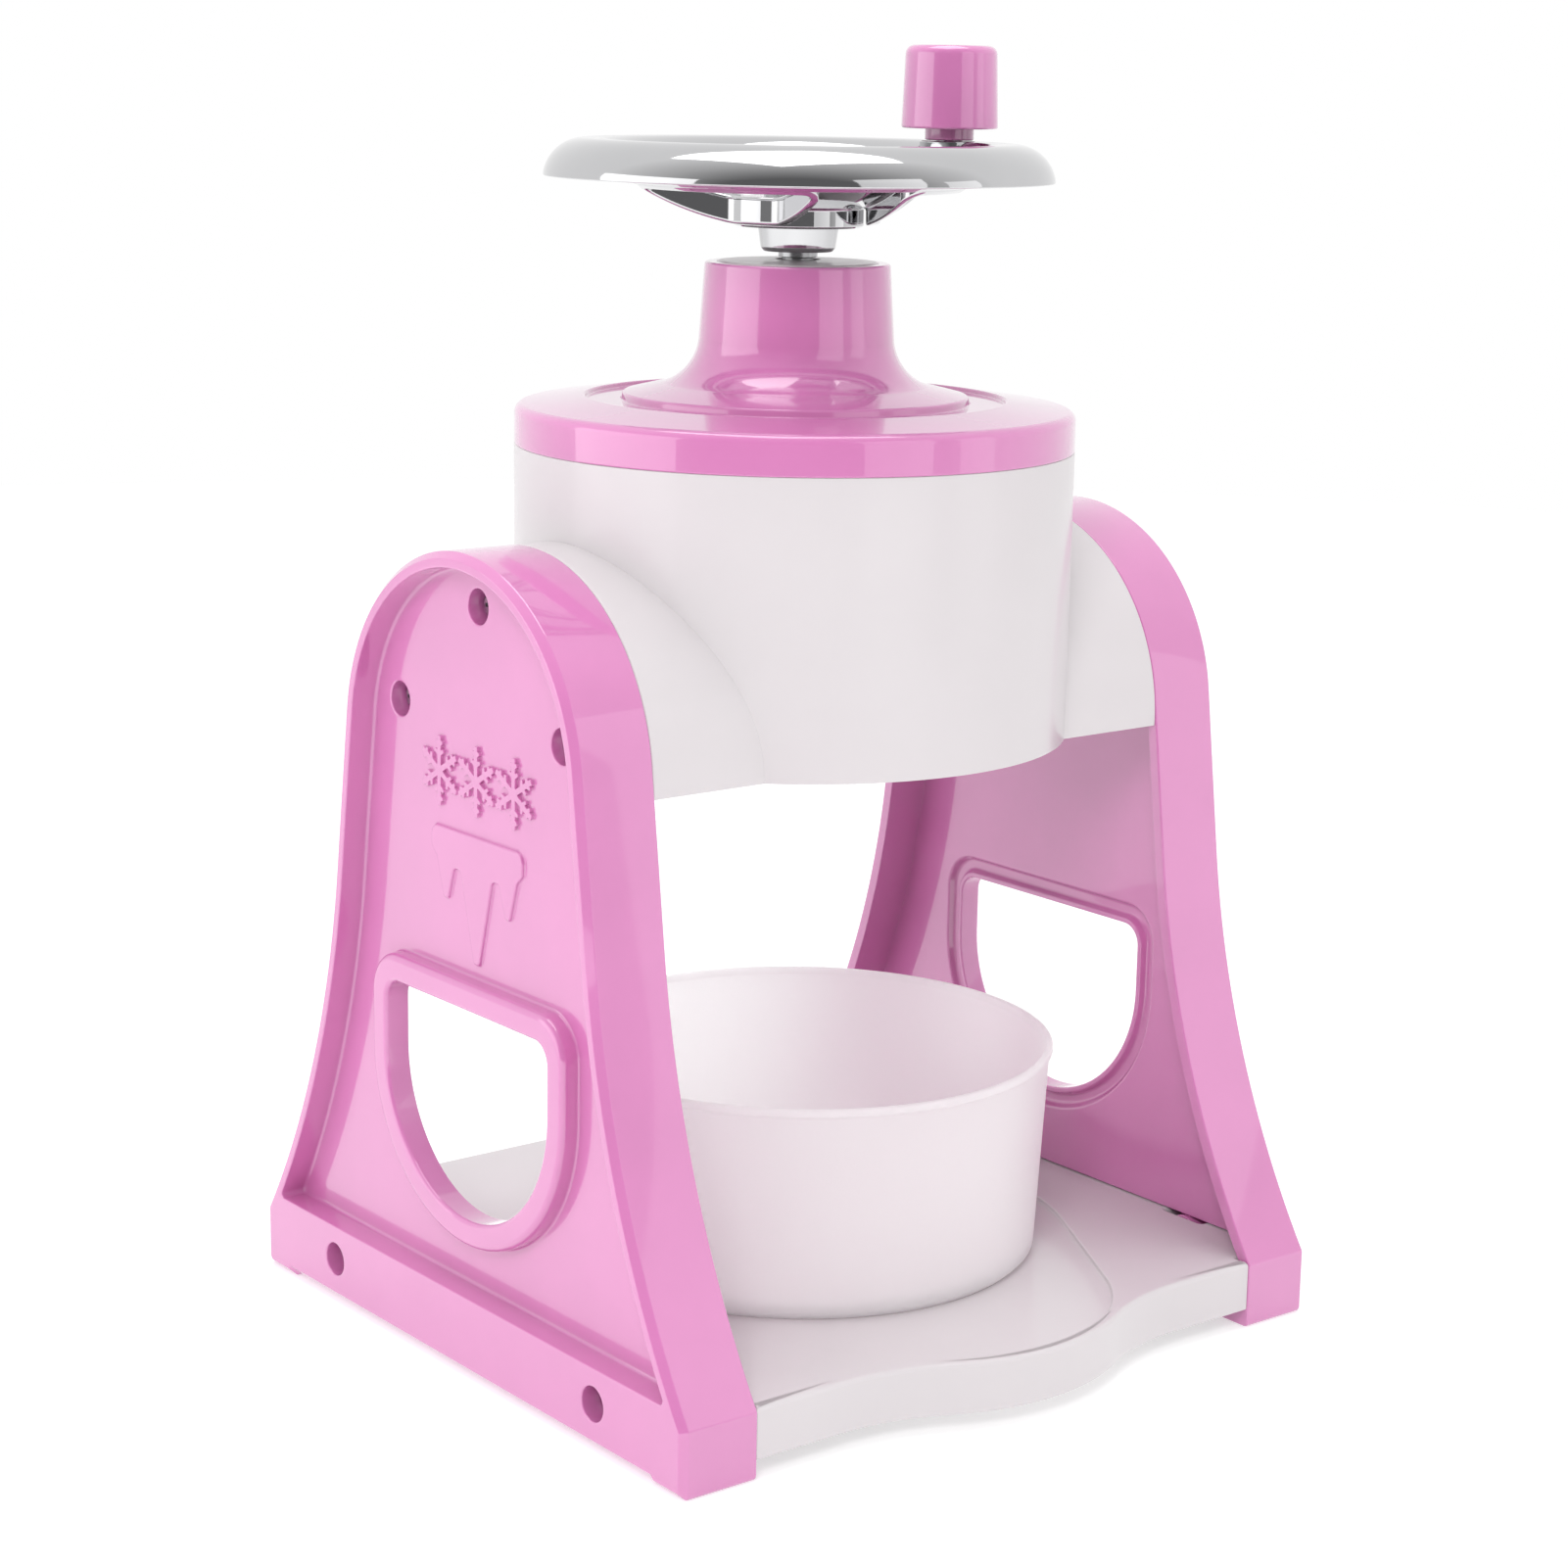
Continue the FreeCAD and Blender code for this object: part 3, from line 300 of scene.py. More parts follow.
def soft(corners, steps=3):
    """Open wall profile with rounded corners."""
    return rounded(corners, closed=False, steps=steps)


def lathe(bm, profile, turns=256, angles=None, bulge=None):
    """Revolve a closed (radius, height) outline about Z; bulge(radius, height, angle) gives a new radius."""
    angles = angles or [2 * math.pi * k / turns for k in range(turns)]
    rings = []
    for radius, height in profile:
        if radius < 1e-4:
            rings.append([bm.verts.new((0, 0, height))] * len(angles))
            continue
        reach = [bulge(radius, height, a) if bulge else radius for a in angles]
        rings.append(ring(bm, in_plan(zip(reach, angles)), height, on_top))
    for low, high in zip(rings, rings[1:] + rings[:1]):
        for k in range(len(angles)):
            follow = (k + 1) % len(angles)
            corners = list(dict.fromkeys([low[k], low[follow], high[follow], high[k]]))
            if len(corners) > 2:
                bm.faces.new(corners)


# ---- Side panels ----
def panel_outline(inset, low, corner, sole=0.0):
    """Side panel (y, z), moved inwards: round top, leaning sides that flare into the foot."""
    lean = math.radians(LEAN)
    normal = Vector((math.cos(lean), math.sin(lean)))
    shoulder = Vector((0, ARCH_Z)) + normal * ARCH_R
    flare = Vector((shoulder.x + (shoulder.y - FLARE_Z) * math.tan(lean), FLARE_Z))
    run = Vector((FOOT_HALF, FOOT_SIDE_H)) - flare
    bend_r = run.length_squared / (2 * normal.dot(run))
    heart = flare + normal * bend_r
    bend_r += inset
    stop = 360 - math.degrees(math.acos((FOOT_HALF - inset - heart.x) / bend_r))
    level = 180 + math.degrees(math.asin((heart.y - low) / bend_r))
    bend = arc(heart, bend_r, 180 + LEAN, min(stop, level), 24)
    side = sharp_points(bend[:-1]) + [(bend[-1][0], bend[-1][1], corner)]
    if stop < level:
        side.append((FOOT_HALF - inset, low, corner))
    if sole:
        side += [(SOLE_Y + inset, low, 0.5), (SOLE_Y + inset - sole, low + sole, 0.5)]
    arch = arc((0, ARCH_Z), ARCH_R - inset, 180 - LEAN, LEAN, 96)
    left = [(-u, v, r) for u, v, r in reversed(side)]
    return list(reversed(rounded(left + sharp_points(arch) + side, steps=4)))


def window_outline(grow):
    """Hand window: flat on top, half round below."""
    half = WINDOW_HALF + grow
    corner = 5.0 + 0.78 * grow
    top = WINDOW_TOP + grow
    bowl_arc = arc((0, WINDOW_Z), half, 180, 360, 72)
    return rounded(sharp_points(bowl_arc) + [(half, top, corner), (-half, top, corner)], steps=10)


def snowflake(middle):
    """Outline of a six-armed star with two pairs of twigs on each arm."""
    half_arm = 0.085 * FLAKE_R
    half_twig = 0.055 * FLAKE_R
    lean = math.radians(55)
    across, ahead = math.sin(lean), math.cos(lean)
    side = [(half_arm, half_arm / math.tan(math.radians(30)), 0.2)]
    for reach, length in ((0.44, 0.26), (0.72, 0.20)):
        root = FLAKE_R * reach
        tip = (FLAKE_R * length * across, root + FLAKE_R * length * ahead)
        for edge in (-1, 1):
            run = (half_arm + edge * half_twig * ahead) / across
            foot = (half_arm, root + edge * half_twig * across + run * ahead, 0.2)
            end = (tip[0] - edge * half_twig * ahead, tip[1] + edge * half_twig * across, 0.25)
            side += [foot, end] if edge < 0 else [end, foot]
    side.append((half_arm, FLAKE_R, 0.25))
    arm = [(-u, v, r) for u, v, r in side[1:]] + list(reversed(side))
    outline = []
    for k in range(6):
        turn = math.radians(-60 * k)
        cos, sin = math.cos(turn), math.sin(turn)
        outline += [(u * cos - v * sin, u * sin + v * cos, r) for u, v, r in arm]
    return [(u + middle, v + FLAKE_Z) for u, v in reversed(rounded(outline, steps=2))]


def icicle():
    """Outline of a round-ended cap with a tapering icicle and two short drips below it."""
    cap_low = ICICLE_TOP - ICICLE_CAP
    right = [(1.2, ICICLE_TIP, 1.1), (ICICLE_STEM, cap_low, 1.2), (ICICLE_STEM + 2.6, cap_low, 1.2),
             (ICICLE_STEM + 5.0, DRIP_TIP, 1.0), (ICICLE_STEM + 7.0, DRIP_TIP, 1.0),
             (ICICLE_HALF - 2.2, cap_low + 1.6, 1.2), (ICICLE_HALF, cap_low + 3.6, 1.0),
             (ICICLE_HALF, ICICLE_TOP, 4.0)]
    return rounded(right + [(-u, v, r) for u, v, r in reversed(right)], steps=10)


def rectangle(half, low, high, corner):
    """Shape function of a rounded rectangle, as far to the left as to the right."""
    def shape(grow):
        side = half + grow
        return rounded([(side, low - grow, corner), (side, high + grow, corner),
                        (-side, high + grow, corner), (-side, low - grow, corner)], steps=3)
    return shape


def screw_place(bm, centre, face, seat, end, place):
    """Counterbore, screw hole and boss from the outer face to the boss's end; returns both end rings."""
    back = seat - 2.0
    return stack(bm, lambda radius: circle(centre, radius), soft([
        (HEAD_R + 0.7, face, 0), (HEAD_R, face, 0.35), (HEAD_R, seat, 0.3), (SHANK_R, seat, 0),
        (SHANK_R, back, 0), (BOSS_R, back, 0.3)] + end), place)


def raised_emblem(bm, place):
    """Three snowflakes above an icicle; returns the rings at their feet."""
    crest = WEB_OUT + EMBLEM_H
    sharp_relief = soft([(0.15, WEB_OUT, 0), (0.0, WEB_OUT, 0.1), (0.0, crest, 0.2), (-0.2, crest, 0)])
    soft_relief = soft([
        (0.8, WEB_OUT, 0), (0.0, WEB_OUT, 0.6), (-0.1, crest, 0.6), (-1.0, crest, 0)], steps=4)
    reliefs = [(snowflake(middle), sharp_relief) for middle in (-FLAKE_STEP, 0.0, FLAKE_STEP)]
    feet = []
    for outline, relief in reliefs + [(icicle(), soft_relief)]:
        foot, top = stack(bm, lambda grow: offset(outline, grow), relief, place)
        fill(bm, top)
        feet.append(foot)
    return feet


def side_panel(name, side):
    """Moulded panel with a recess on both sides of its web, on the right (1) or the left (-1)."""
    bm = bmesh.new()

    def at(u, v, depth):
        return (side * depth, u, v)

    def body(inset):
        return panel_outline(inset, inset, 1.2, SOLE_RAISE)

    def outer_recess(inset):
        below = inset - FLANGE_OUT
        return panel_outline(inset, LEDGE_Z + below, max(0.3, 2.4 - below))

    def inner_recess(inset):
        return panel_outline(inset, INNER_LEDGE_Z + inset - FLANGE_IN, 0.6)

    inner_rim, outer_rim = stack(bm, body, soft([
        (1.0, INNER_X, 0), (0.0, INNER_X, 0.4), (0.0, OUTER_X - BEVEL, 0.6), (BEVEL, OUTER_X, 0.5),
        (2.4, OUTER_X, 0)]), at)
    recess_rim, web_edge = stack(bm, outer_recess, soft([
        (3.0, OUTER_X, 0), (FLANGE_OUT, OUTER_X, 0.35), (FLANGE_OUT + 0.2, WEB_OUT, 0.9),
        (5.3, WEB_OUT, 0)]), at)
    inside_rim, inside_web = stack(bm, inner_recess, soft([
        (2.6, INNER_X, 0), (FLANGE_IN, INNER_X, 0.3), (3.1, WEB_IN, 0.12), (3.3, WEB_IN, 0)]), at)
    web_hole, inside_hole = stack(bm, window_outline, soft([
        (7.6, WEB_OUT, 0), (6.4, WEB_OUT, 0.8), (6.3, WINDOW_COLLAR_X, 1.7), (0.0, WINDOW_COLLAR_X, 1.1),
        (0.0, WEB_IN, 0.4), (1.3, WEB_IN, 0.5), (2.0, GROOVE_X, 0.7), (4.4, GROOVE_X, 1.1),
        (5.4, WEB_IN, 1.0), (6.4, WEB_IN, 0)], steps=5), at)
    boss_end = [(BOSS_R, WEB_IN, 0.4), (6.2, WEB_IN, 0)]
    foot_end = [(BOSS_R, FOOT_ROOM_X, 0.1), (5.65, FOOT_ROOM_X, 0)]
    bosses = [screw_place(bm, centre, WEB_OUT, SCREW_SEAT_X, boss_end, at)
              for centre in SCREW_HOLES]
    feet = [screw_place(bm, centre, OUTER_X, FOOT_SEAT_X, foot_end, at)
            for centre in FOOT_SCREWS]
    emblem = raised_emblem(bm, at)
    room_mouth, room_floor = stack(bm, rectangle(*FOOT_ROOM, 0.5), soft([
        (0.08, WEB_IN, 0), (0.0, WEB_IN, 0.05), (0.0, FOOT_ROOM_X, 0.15), (-0.3, FOOT_ROOM_X, 0)]), at)

    boss_faces, boss_backs = zip(*bosses)
    foot_faces, foot_backs = zip(*feet)
    fill(bm, inner_rim, inside_rim)
    fill(bm, outer_rim, recess_rim, *foot_faces)
    fill(bm, web_edge, web_hole, *emblem, *boss_faces)
    fill(bm, inside_web, inside_hole, room_mouth, *boss_backs)
    fill(bm, room_floor, *foot_backs)
    return made(name, bm)


# ---- Ice chamber ----
def arch_path(radius):
    """Wing section (y, z): half round above a short upright side."""
    return [(radius, CHAMBER_Z)] + arc((0, ARCH_Z), radius, 0, 180, 96) + [(-radius, CHAMBER_Z)]


def crease_x(y):
    """Where the round chamber wall stands at a y."""
    return math.sqrt(LID_R ** 2 - y * y)


def keyed_bore(keyway_r):
    """Bore of the chamber in plan as a shape function, with a keyway of a radius on each side."""
    half_key = math.degrees(math.asin(KEYWAY_HALF / CHAMBER_BORE))
    corner = half_key * 0.999       # a keyway's side leans a little, so that its points stay apart
    steps = 90

    def shape(grow):
        loop = []
        for turn in (0, 180):
            loop.append((keyway_r + grow, turn + corner))
            for k in range(steps + 1):
                loop.append((CHAMBER_BORE + grow, turn + half_key + (180 - 2 * half_key) * k / steps))
            loop.append((keyway_r + grow, turn + 180 - corner))
        return in_plan((r, math.radians(a)) for r, a in loop)
    return shape


def wall_turns(side):
    """Angles of the chamber wall between the wings, at the back (1) or in front (-1)."""
    wing_edge = math.degrees(math.asin(ARCH_R / LID_R))
    start = wing_edge if side > 0 else wing_edge + 180
    return [math.radians(start + (180 - 2 * wing_edge) * k / WALL_STEPS) for k in range(WALL_STEPS + 1)]


def chamber_wall(bm):
    """Outside of the chamber above the wings' crease; returns the points of its upper rim."""
    rim_rows = soft([(LID_R, RIM_Z - 3, 0), (LID_R, RIM_Z, 0.35), (LID_R - 1, RIM_Z, 0)])[1:]
    columns = []
    for side in (1, -1):
        for y, z in reversed(arch_path(ARCH_R)[1:-1]):
            columns.append((math.atan2(side * y, side * crease_x(y)), z))
        columns += [(turn, ARCH_Z) for turn in wall_turns(side)[1:-1]]
    lines = []
    for turn, crease_z in columns:
        climb = RIM_Z - 1.0 - crease_z
        rows = [(LID_R, crease_z + climb * row / WALL_ROWS) for row in range(WALL_ROWS + 1)] + rim_rows
        lines.append([bm.verts.new((r * math.cos(turn), r * math.sin(turn), z)) for r, z in rows])
    for near, far in zip(lines, lines[1:] + lines[:1]):
        bridge(bm, near, far, closed=False)
    return [line[-1] for line in lines]


def wing_skin(bm, side, sections):
    """Skin of a wing through (radius, x) sections, closed at its end; no x is the chamber wall."""
    strips = []
    for radius, x in sections:
        path = arch_path(radius)
        strips.append([bm.verts.new((side * (crease_x(y) if x is None else x), y, z)) for y, z in path])
    for near, far in zip(strips, strips[1:]):
        bridge(bm, near, far, closed=False)
    fill(bm, strips[-1])
    return strips


def low_edge(strips):
    """Lowest points of a wing's skin: outwards along one side, and back along the other."""
    return [strip[0] for strip in strips] + [strip[-1] for strip in reversed(strips)]


def dropped(bm, line):
    """Wall from a line of points down to the underside of the chamber; returns its foot."""
    foot = [bm.verts.new((v.co.x, v.co.y, CHAMBER_Z)) for v in line]
    bridge(bm, line, foot, closed=False)
    return foot


def blade_slot(front):
    """Plan of the shaving slot with its front edge at a y."""
    left, right = SLOT_X
    return [(left, front), (right, front), (right, SLOT_BACK), (left, SLOT_BACK)]


def chamber_underside(bm, outline, rooms):
    """Underside of the chamber inside an outline, round the wings' rooms; returns the slot at floor level."""
    bottom = ring(bm, [tuple(v.co.xy) for v in outline], CHAMBER_Z, on_top)
    slot_low = ring(bm, blade_slot(SLOT_LOW_FRONT), CHAMBER_Z, on_top)
    slot_top = ring(bm, blade_slot(SLOT_TOP_FRONT), FLOOR_Z, on_top)
    bridge(bm, slot_low, slot_top)
    holes = [ring(bm, [tuple(v.co.xy) for v in room], CHAMBER_Z, on_top) for room in rooms]
    bmesh.ops.remove_doubles(bm, verts=bottom + holes[0] + holes[1], dist=0.002)
    kept = [[v for v in verts if v.is_valid] for verts in [bottom] + holes]
    fill(bm, kept[0], slot_low, *kept[1:])
    return slot_top


def hopper():
    """Round ice chamber with a wing on each side, its floor with the slot and its keyed bore."""
    bm = bmesh.new()
    chamber_rim = chamber_wall(bm)
    spigot = soft([(72.0, ARCH_R, 0), (INNER_X, ARCH_R, 0.35), (INNER_X, SPIGOT_R, 0.2),
                   (SPIGOT_X, SPIGOT_R, 0.4), (SPIGOT_X, SPIGOT_R - 1, 0)])
    room_end_r = SPIGOT_R - WALL
    wings = {}
    rooms = []
    for side in (1, -1):
        wings[side] = low_edge(wing_skin(bm, side, [(ARCH_R, None)] + [(r, x) for x, r in spigot]))
        room = wing_skin(bm, side, [(ROOM_R, None), (ROOM_R, ROOM_X), (room_end_r, ROOM_X),
                                    (room_end_r, SPIGOT_X - WALL)])
        wall_foot = dropped(bm, room[0][1:-1])
        rooms.append(low_edge(room) + list(reversed(wall_foot)))
    walls = {}
    for side in (1, -1):
        top = ring(bm, in_plan((LID_R, turn) for turn in wall_turns(side)), ARCH_Z, on_top)
        walls[side] = dropped(bm, top)
    outline = list(reversed(wings[1])) + walls[1] + wings[-1] + walls[-1]
    slot_top = chamber_underside(bm, outline, rooms)

    floor_ring, bore_mid = stack(bm, keyed_bore(CHAMBER_BORE), soft([
        (-1.0, FLOOR_Z, 0), (0.0, FLOOR_Z, 0.8), (0.0, KEYWAY_Z, 0)]), on_top)
    key_low, bore_top = stack(bm, keyed_bore(CHAMBER_BORE + KEYWAY_DEEP), soft([
        (0.0, KEYWAY_Z, 0), (0.0, RIM_Z, 0.35), (0.5, RIM_Z, 0)]), on_top)
    bridge(bm, bore_mid, key_low)
    fill(bm, floor_ring, slot_top)
    fill(bm, chamber_rim, bore_top)
    return made("hopper_shell", bm)


# ---- Base plate ----
def base_outline():
    """Plan of the base: a round bulge in front, and ends that reach into the feet."""
    bulge_r = 54.68
    swing = 27.2                    # degrees of the bulge on each side, and of the hollow beside it
    flank_x = 50.0
    front = arc((0, -BASE_FRONT + bulge_r), bulge_r, -90 - swing, -90 + swing, 40)
    hollow = arc((flank_x, -BASE_HALF - bulge_r), bulge_r, 90 + swing, 90, 20)
    gap_low, gap_high = GAP_Y
    tongues = [(TONGUE_X, -TONGUE_HALF), (TONGUE_X, -gap_high), (GAP_X, -gap_high), (GAP_X, -gap_low),
               (TONGUE_X, -gap_low), (TONGUE_X, gap_low), (GAP_X, gap_low), (GAP_X, gap_high),
               (TONGUE_X, gap_high), (TONGUE_X, TONGUE_HALF)]
    right = sharp_points(hollow[1:-1]) + [(flank_x, -BASE_HALF, 0), (INNER_X, -BASE_HALF, 0.3)]
    right += [(INNER_X, -TONGUE_HALF, 0.5)] + [(u, v, 0.5) for u, v in tongues]
    right += [(INNER_X, TONGUE_HALF, 0.5), (INNER_X, BASE_HALF, 0.3)]
    left = [(-u, v, r) for u, v, r in reversed(right)]
    return rounded(sharp_points(front) + right + left, steps=3)


def seat_outline(grow):
    """Round seat about the bowl, drawn out towards the front bulge."""
    lean = math.degrees(math.asin((SEAT_R - SEAT_FRONT_R) / (BOWL_Y - SEAT_FRONT_Y)))
    back = arc((0, BOWL_Y), SEAT_R + grow, -lean, 180 + lean, 120)
    return back + arc((0, SEAT_FRONT_Y), SEAT_FRONT_R + grow, 180 + lean, 360 - lean, 72)


def rib_cells(bm, mouth_z):
    """Pockets between the ribs of the underside; returns the rings at their mouths."""
    ceiling = BASE_TOP - 3.5
    mouths = []
    for left, right in RIB_CELLS_X:
        for front, back in RIB_CELLS_Y:
            cell = rounded([(right, front, 1.5), (right, back, 1.5), (left, back, 1.5), (left, front, 1.5)])
            mouth, roof = stack(bm, lambda grow: offset(cell, grow), soft([
                (0.2, mouth_z, 0), (0.0, mouth_z, 0.2), (-0.1, ceiling, 0.5), (-0.8, ceiling, 0)]), on_top)
            fill(bm, roof)
            mouths.append(mouth)
    return mouths


def base_plate():
    """Base with a sunk seat for the bowl, and a ribbed underside whose ribs end short of the rim."""
    bm = bmesh.new()
    outline = base_outline()

    def edge(grow):
        return offset(outline, grow)

    low_rim, top_rim = stack(bm, edge, soft([
        (-1.2, BASE_UNDER, 0), (0.0, BASE_UNDER, 0.4), (0.0, BASE_TOP, 1.2), (-2.4, BASE_TOP, 0)], steps=5),
        on_top)
    seat_rim, seat_floor = stack(bm, seat_outline, soft([
        (0.7, BASE_TOP, 0), (0.1, BASE_TOP, 0.4), (-0.1, BASE_TOP - 1.0, 0.45), (-1.2, BASE_TOP - 1.0, 0)],
        steps=4), on_top)
    fill(bm, top_rim, seat_rim)
    fill(bm, seat_floor)
    ribs_z = BASE_UNDER + 2.0
    room_rim, rib_edge = stack(bm, edge, soft([
        (-2.1, BASE_UNDER, 0), (-2.5, BASE_UNDER, 0.3), (-2.5, ribs_z, 0.2), (-3.2, ribs_z, 0)]), on_top)
    bridge(bm, low_rim, room_rim)
    cells = rib_cells(bm, ribs_z)
    fill(bm, rib_edge, *cells)
    return made("base_shell", bm)


# ---- Bowl, lid, nut ----
def bowl():
    """Bowl with a foot ring, leaning sides and a thicker rim."""
    foot = BOWL_LOW.z
    top = BOWL_HIGH.z
    bm = bmesh.new()
    lathe(bm, rounded([
        (0.0, foot + 0.8, 0), (51.3, foot + 0.8, 0.3), (51.3, foot, 0.3), (55.7, foot, 0.5),
        (57.3, foot + 1.6, 1.2), (59.7, top - 2.1, 0.5), (60.48, top - 1.5, 0.3), (60.48, top, 0.75),
        (58.75, top, 0.45), (58.3, top - 1.6, 1.0), (55.0, foot + 2.6, 4.2),
        (0.0, foot + 2.6, 0)], steps=7), turns=288)
    return made("bowl_body", bm, centre=(0.0, BOWL_Y))


def key_bulge(radius, height, angle):
    """Keys on both sides of the lid's collar."""
    on_collar = abs(radius - LID_COLLAR_R) < 0.3 and height < RIM_Z + 0.1
    if on_collar and abs(math.sin(angle)) * radius < KEY_HALF + 0.02:
        return radius + KEYWAY_DEEP
    return radius


def lid():
    """Lid with a flared neck, and a keyed collar that reaches into the chamber."""
    key = math.asin(KEY_HALF / LID_COLLAR_R)
    step = 0.0004                   # turn between the foot of a key's side and its top
    angles = []
    for turn in (0, math.pi):
        angles += [turn + key * k / 4 for k in range(-4, 5)]
        angles += [turn + key + step + (math.pi - 2 * key - 2 * step) * k / 130 for k in range(131)]
    bm = bmesh.new()
    rim = LID_HIGH.z
    profile = [(LID_R, RIM_Z, 0.35), (LID_R, 216.3, 2.2), (48.8, 218.5, 0.6), (48.4, 217.5, 0.35)]
    profile += [(40.4, 217.5, 0.5), (40.0, 219.2, 0.8)]
    profile += swept((31.0, 221.3), (25.5, 224.9), (22.6, 231.5), 16)
    profile += [(21.4, rim, 0.75), (18.6, rim, 0.35), (18.6, 233.0, 0.2), (15.0, 233.0, 0.3)]
    profile += swept((15.0, 229.0), (18.5, 221.5), (26.0, 218.0), 8)
    profile += [(38.0, 215.0, 2.0), (57.0, 215.0, 1.5), (58.6, 213.5, 1.0), (58.6, 199.0, 0.3),
                (LID_COLLAR_R, 199.0, 0), (LID_COLLAR_R, RIM_Z, 0)]
    lathe(bm, rounded(profile, steps=6), angles=angles, bulge=key_bulge)
    return made("lid_shell", bm)


def feed_nut():
    """Insert of the neck: a wide head above a long sleeve, bored for the screw."""
    top = NUT_HIGH.z
    low = NUT_LOW.z
    bm = bmesh.new()
    lathe(bm, rounded([
        (4.6, low, 0.3), (9.5, low, 0.5), (9.5, 233.0, 0.4), (18.5, 233.0, 0.3), (18.5, top - 0.45, 0.6),
        (13.0, top - 0.1, 6.0), (8.0, top, 2.0), (5.4, top, 0.5), (4.6, top - 0.7, 0.2)], steps=5), turns=192)
    return made("feed_nut_body", bm)


# ---- Handwheel ----
# Arcs through three (radius, height) points: the dish's upper and lower side, and the channel
TOP_BOW = ((11.0, 263.0), (26.0, 266.6), (38.6, 271.8))
LOW_BOW = ((14.0, 257.3), (27.0, 260.9), (39.4, 267.2))
CHANNEL_BOW = ((15.0, 261.7), (26.0, 264.9), (37.4, 269.6))
DISH_R = (14.0, 38.6)           # hub's and rim's side of the dish, and of the channel under it
CHANNEL_R = (15.6, 36.9)
SPOKE_HALF = 12.0
OPENING_R = (18.8, 36.5)
OPENING_CORNER = 3.2
OPENING_TURN = 76.25            # degrees, direction of the first opening
# Where the corners of an opening part its sides: the mark's radius, and the one that gives its direction
OPENING_MARKS = ((35.6, 35.0), (19.7, 20.3))
ARC_OUT = 96                    # points of one opening's outer and inner side, and along a spoke
ARC_IN = 48
ALONG = 18
# Steps round the edge of an opening, as (growth, lift) from a bow
TOP_LIP = ((1.2, 0.0), (0.7, -0.04), (0.4, -0.16), (0.16, -0.38), (0.04, -0.66), (0.0, -1.1))
LOW_LIP = ((0.0, 0.7), (0.05, 0.38), (0.2, 0.14), (0.5, 0.02),
           (1.4, 0.02), (1.7, 0.12), (1.86, 0.3), (1.9, 0.6))
CHANNEL_LIP = ((1.95, -0.9), (2.1, -0.45), (2.5, -0.1), (3.0, 0.0))
CELL_SHARES = (0.08, 0.2, 0.35, 0.5, 0.65, 0.8, 0.92, 1.0)


def dish_height(bow, radius):
    """Height of a bow at a radius."""
    (x, y), reach = through(*bow)
    side = 1 if bow[1][1] > y else -1
    return y + side * math.sqrt(reach ** 2 - (radius - x) ** 2)


def opening_outline():
    """One opening of the wheel in plan, centred on +X."""
    low_r, high_r = OPENING_R

    def on_spoke(radius):
        turn = math.pi / 3 - math.asin(SPOKE_HALF / radius)
        return radius * math.cos(turn), radius * math.sin(turn)

    near = on_spoke(low_r)
    far = on_spoke(high_r)
    far_turn = math.degrees(math.atan2(far[1], far[0]))
    near_turn = math.degrees(math.atan2(near[1], near[0]))
    outer = arc((0, 0), high_r, -far_turn, far_turn, 64)
    inner = arc((0, 0), low_r, near_turn, -near_turn, 32)
    corners = [(*outer[0], OPENING_CORNER)] + sharp_points(thin(outer, 5.0)) + [(*far, OPENING_CORNER)]
    corners += [(*near, OPENING_CORNER)] + sharp_points(thin(inner, 4.0))
    corners += [(near[0], -near[1], OPENING_CORNER)]
    return rounded(corners, steps=12)


def opening_marks():
    """Four points of an opening's outline between which its sides are shared out."""
    marks = []
    for (radius, spoke_r), sides in zip(OPENING_MARKS, ((-1, 1), (1, -1))):
        turn = math.radians(60) - math.asin(SPOKE_HALF / spoke_r)
        marks += in_plan((radius, side * turn) for side in sides)
    return marks


def thin(line, gap):
    """Middle of a line, without the points that lie within a gap of its ends."""
    return [p for p in line if math.dist(p, line[0]) > gap and math.dist(p, line[-1]) > gap]


def shared_out(loop, starts, counts):
    """Resample a closed loop: counts[i] points along its length from starts[i] to the next start."""
    lengths = [0.0]
    for k in range(len(loop)):
        lengths.append(lengths[-1] + math.dist(loop[k], loop[(k + 1) % len(loop)]))
    total = lengths[-1]

    def nearest(point):
        return lengths[min(range(len(loop)), key=lambda k: math.dist(loop[k], point))]

    marks = [nearest(p) for p in starts]
    points = []
    for k, count in enumerate(counts):
        run = (marks[(k + 1) % len(marks)] - marks[k]) % total
        for step in range(count):
            place = (marks[k] + run * step / count) % total
            at = max(i for i in range(len(loop)) if lengths[i] <= place + 1e-9)
            share = (place - lengths[at]) / max(1e-9, lengths[at + 1] - lengths[at])
            a, b = loop[at], loop[(at + 1) % len(loop)]
            points.append((a[0] + (b[0] - a[0]) * share, a[1] + (b[1] - a[1]) * share))
    return points


def cell_edge(inner_r, outer_r):
    """Sector of 120 degrees round one opening: outer side, spoke, inner side, spoke."""
    half = math.pi / 3
    loop = [(outer_r, -half + 2 * half * k / ARC_OUT) for k in range(ARC_OUT)]
    loop += [(outer_r + (inner_r - outer_r) * k / ALONG, half) for k in range(ALONG)]
    loop += [(inner_r, half - 2 * half * k / ARC_IN) for k in range(ARC_IN)]
    loop += [(inner_r + (outer_r - inner_r) * k / ALONG, -half) for k in range(ALONG)]
    return in_plan(loop)


def blended(near, far, share):
    """Loop that lies a share of the way from one loop to another."""
    return [(a[0] + (b[0] - a[0]) * share, a[1] + (b[1] - a[1]) * share) for a, b in zip(near, far)]


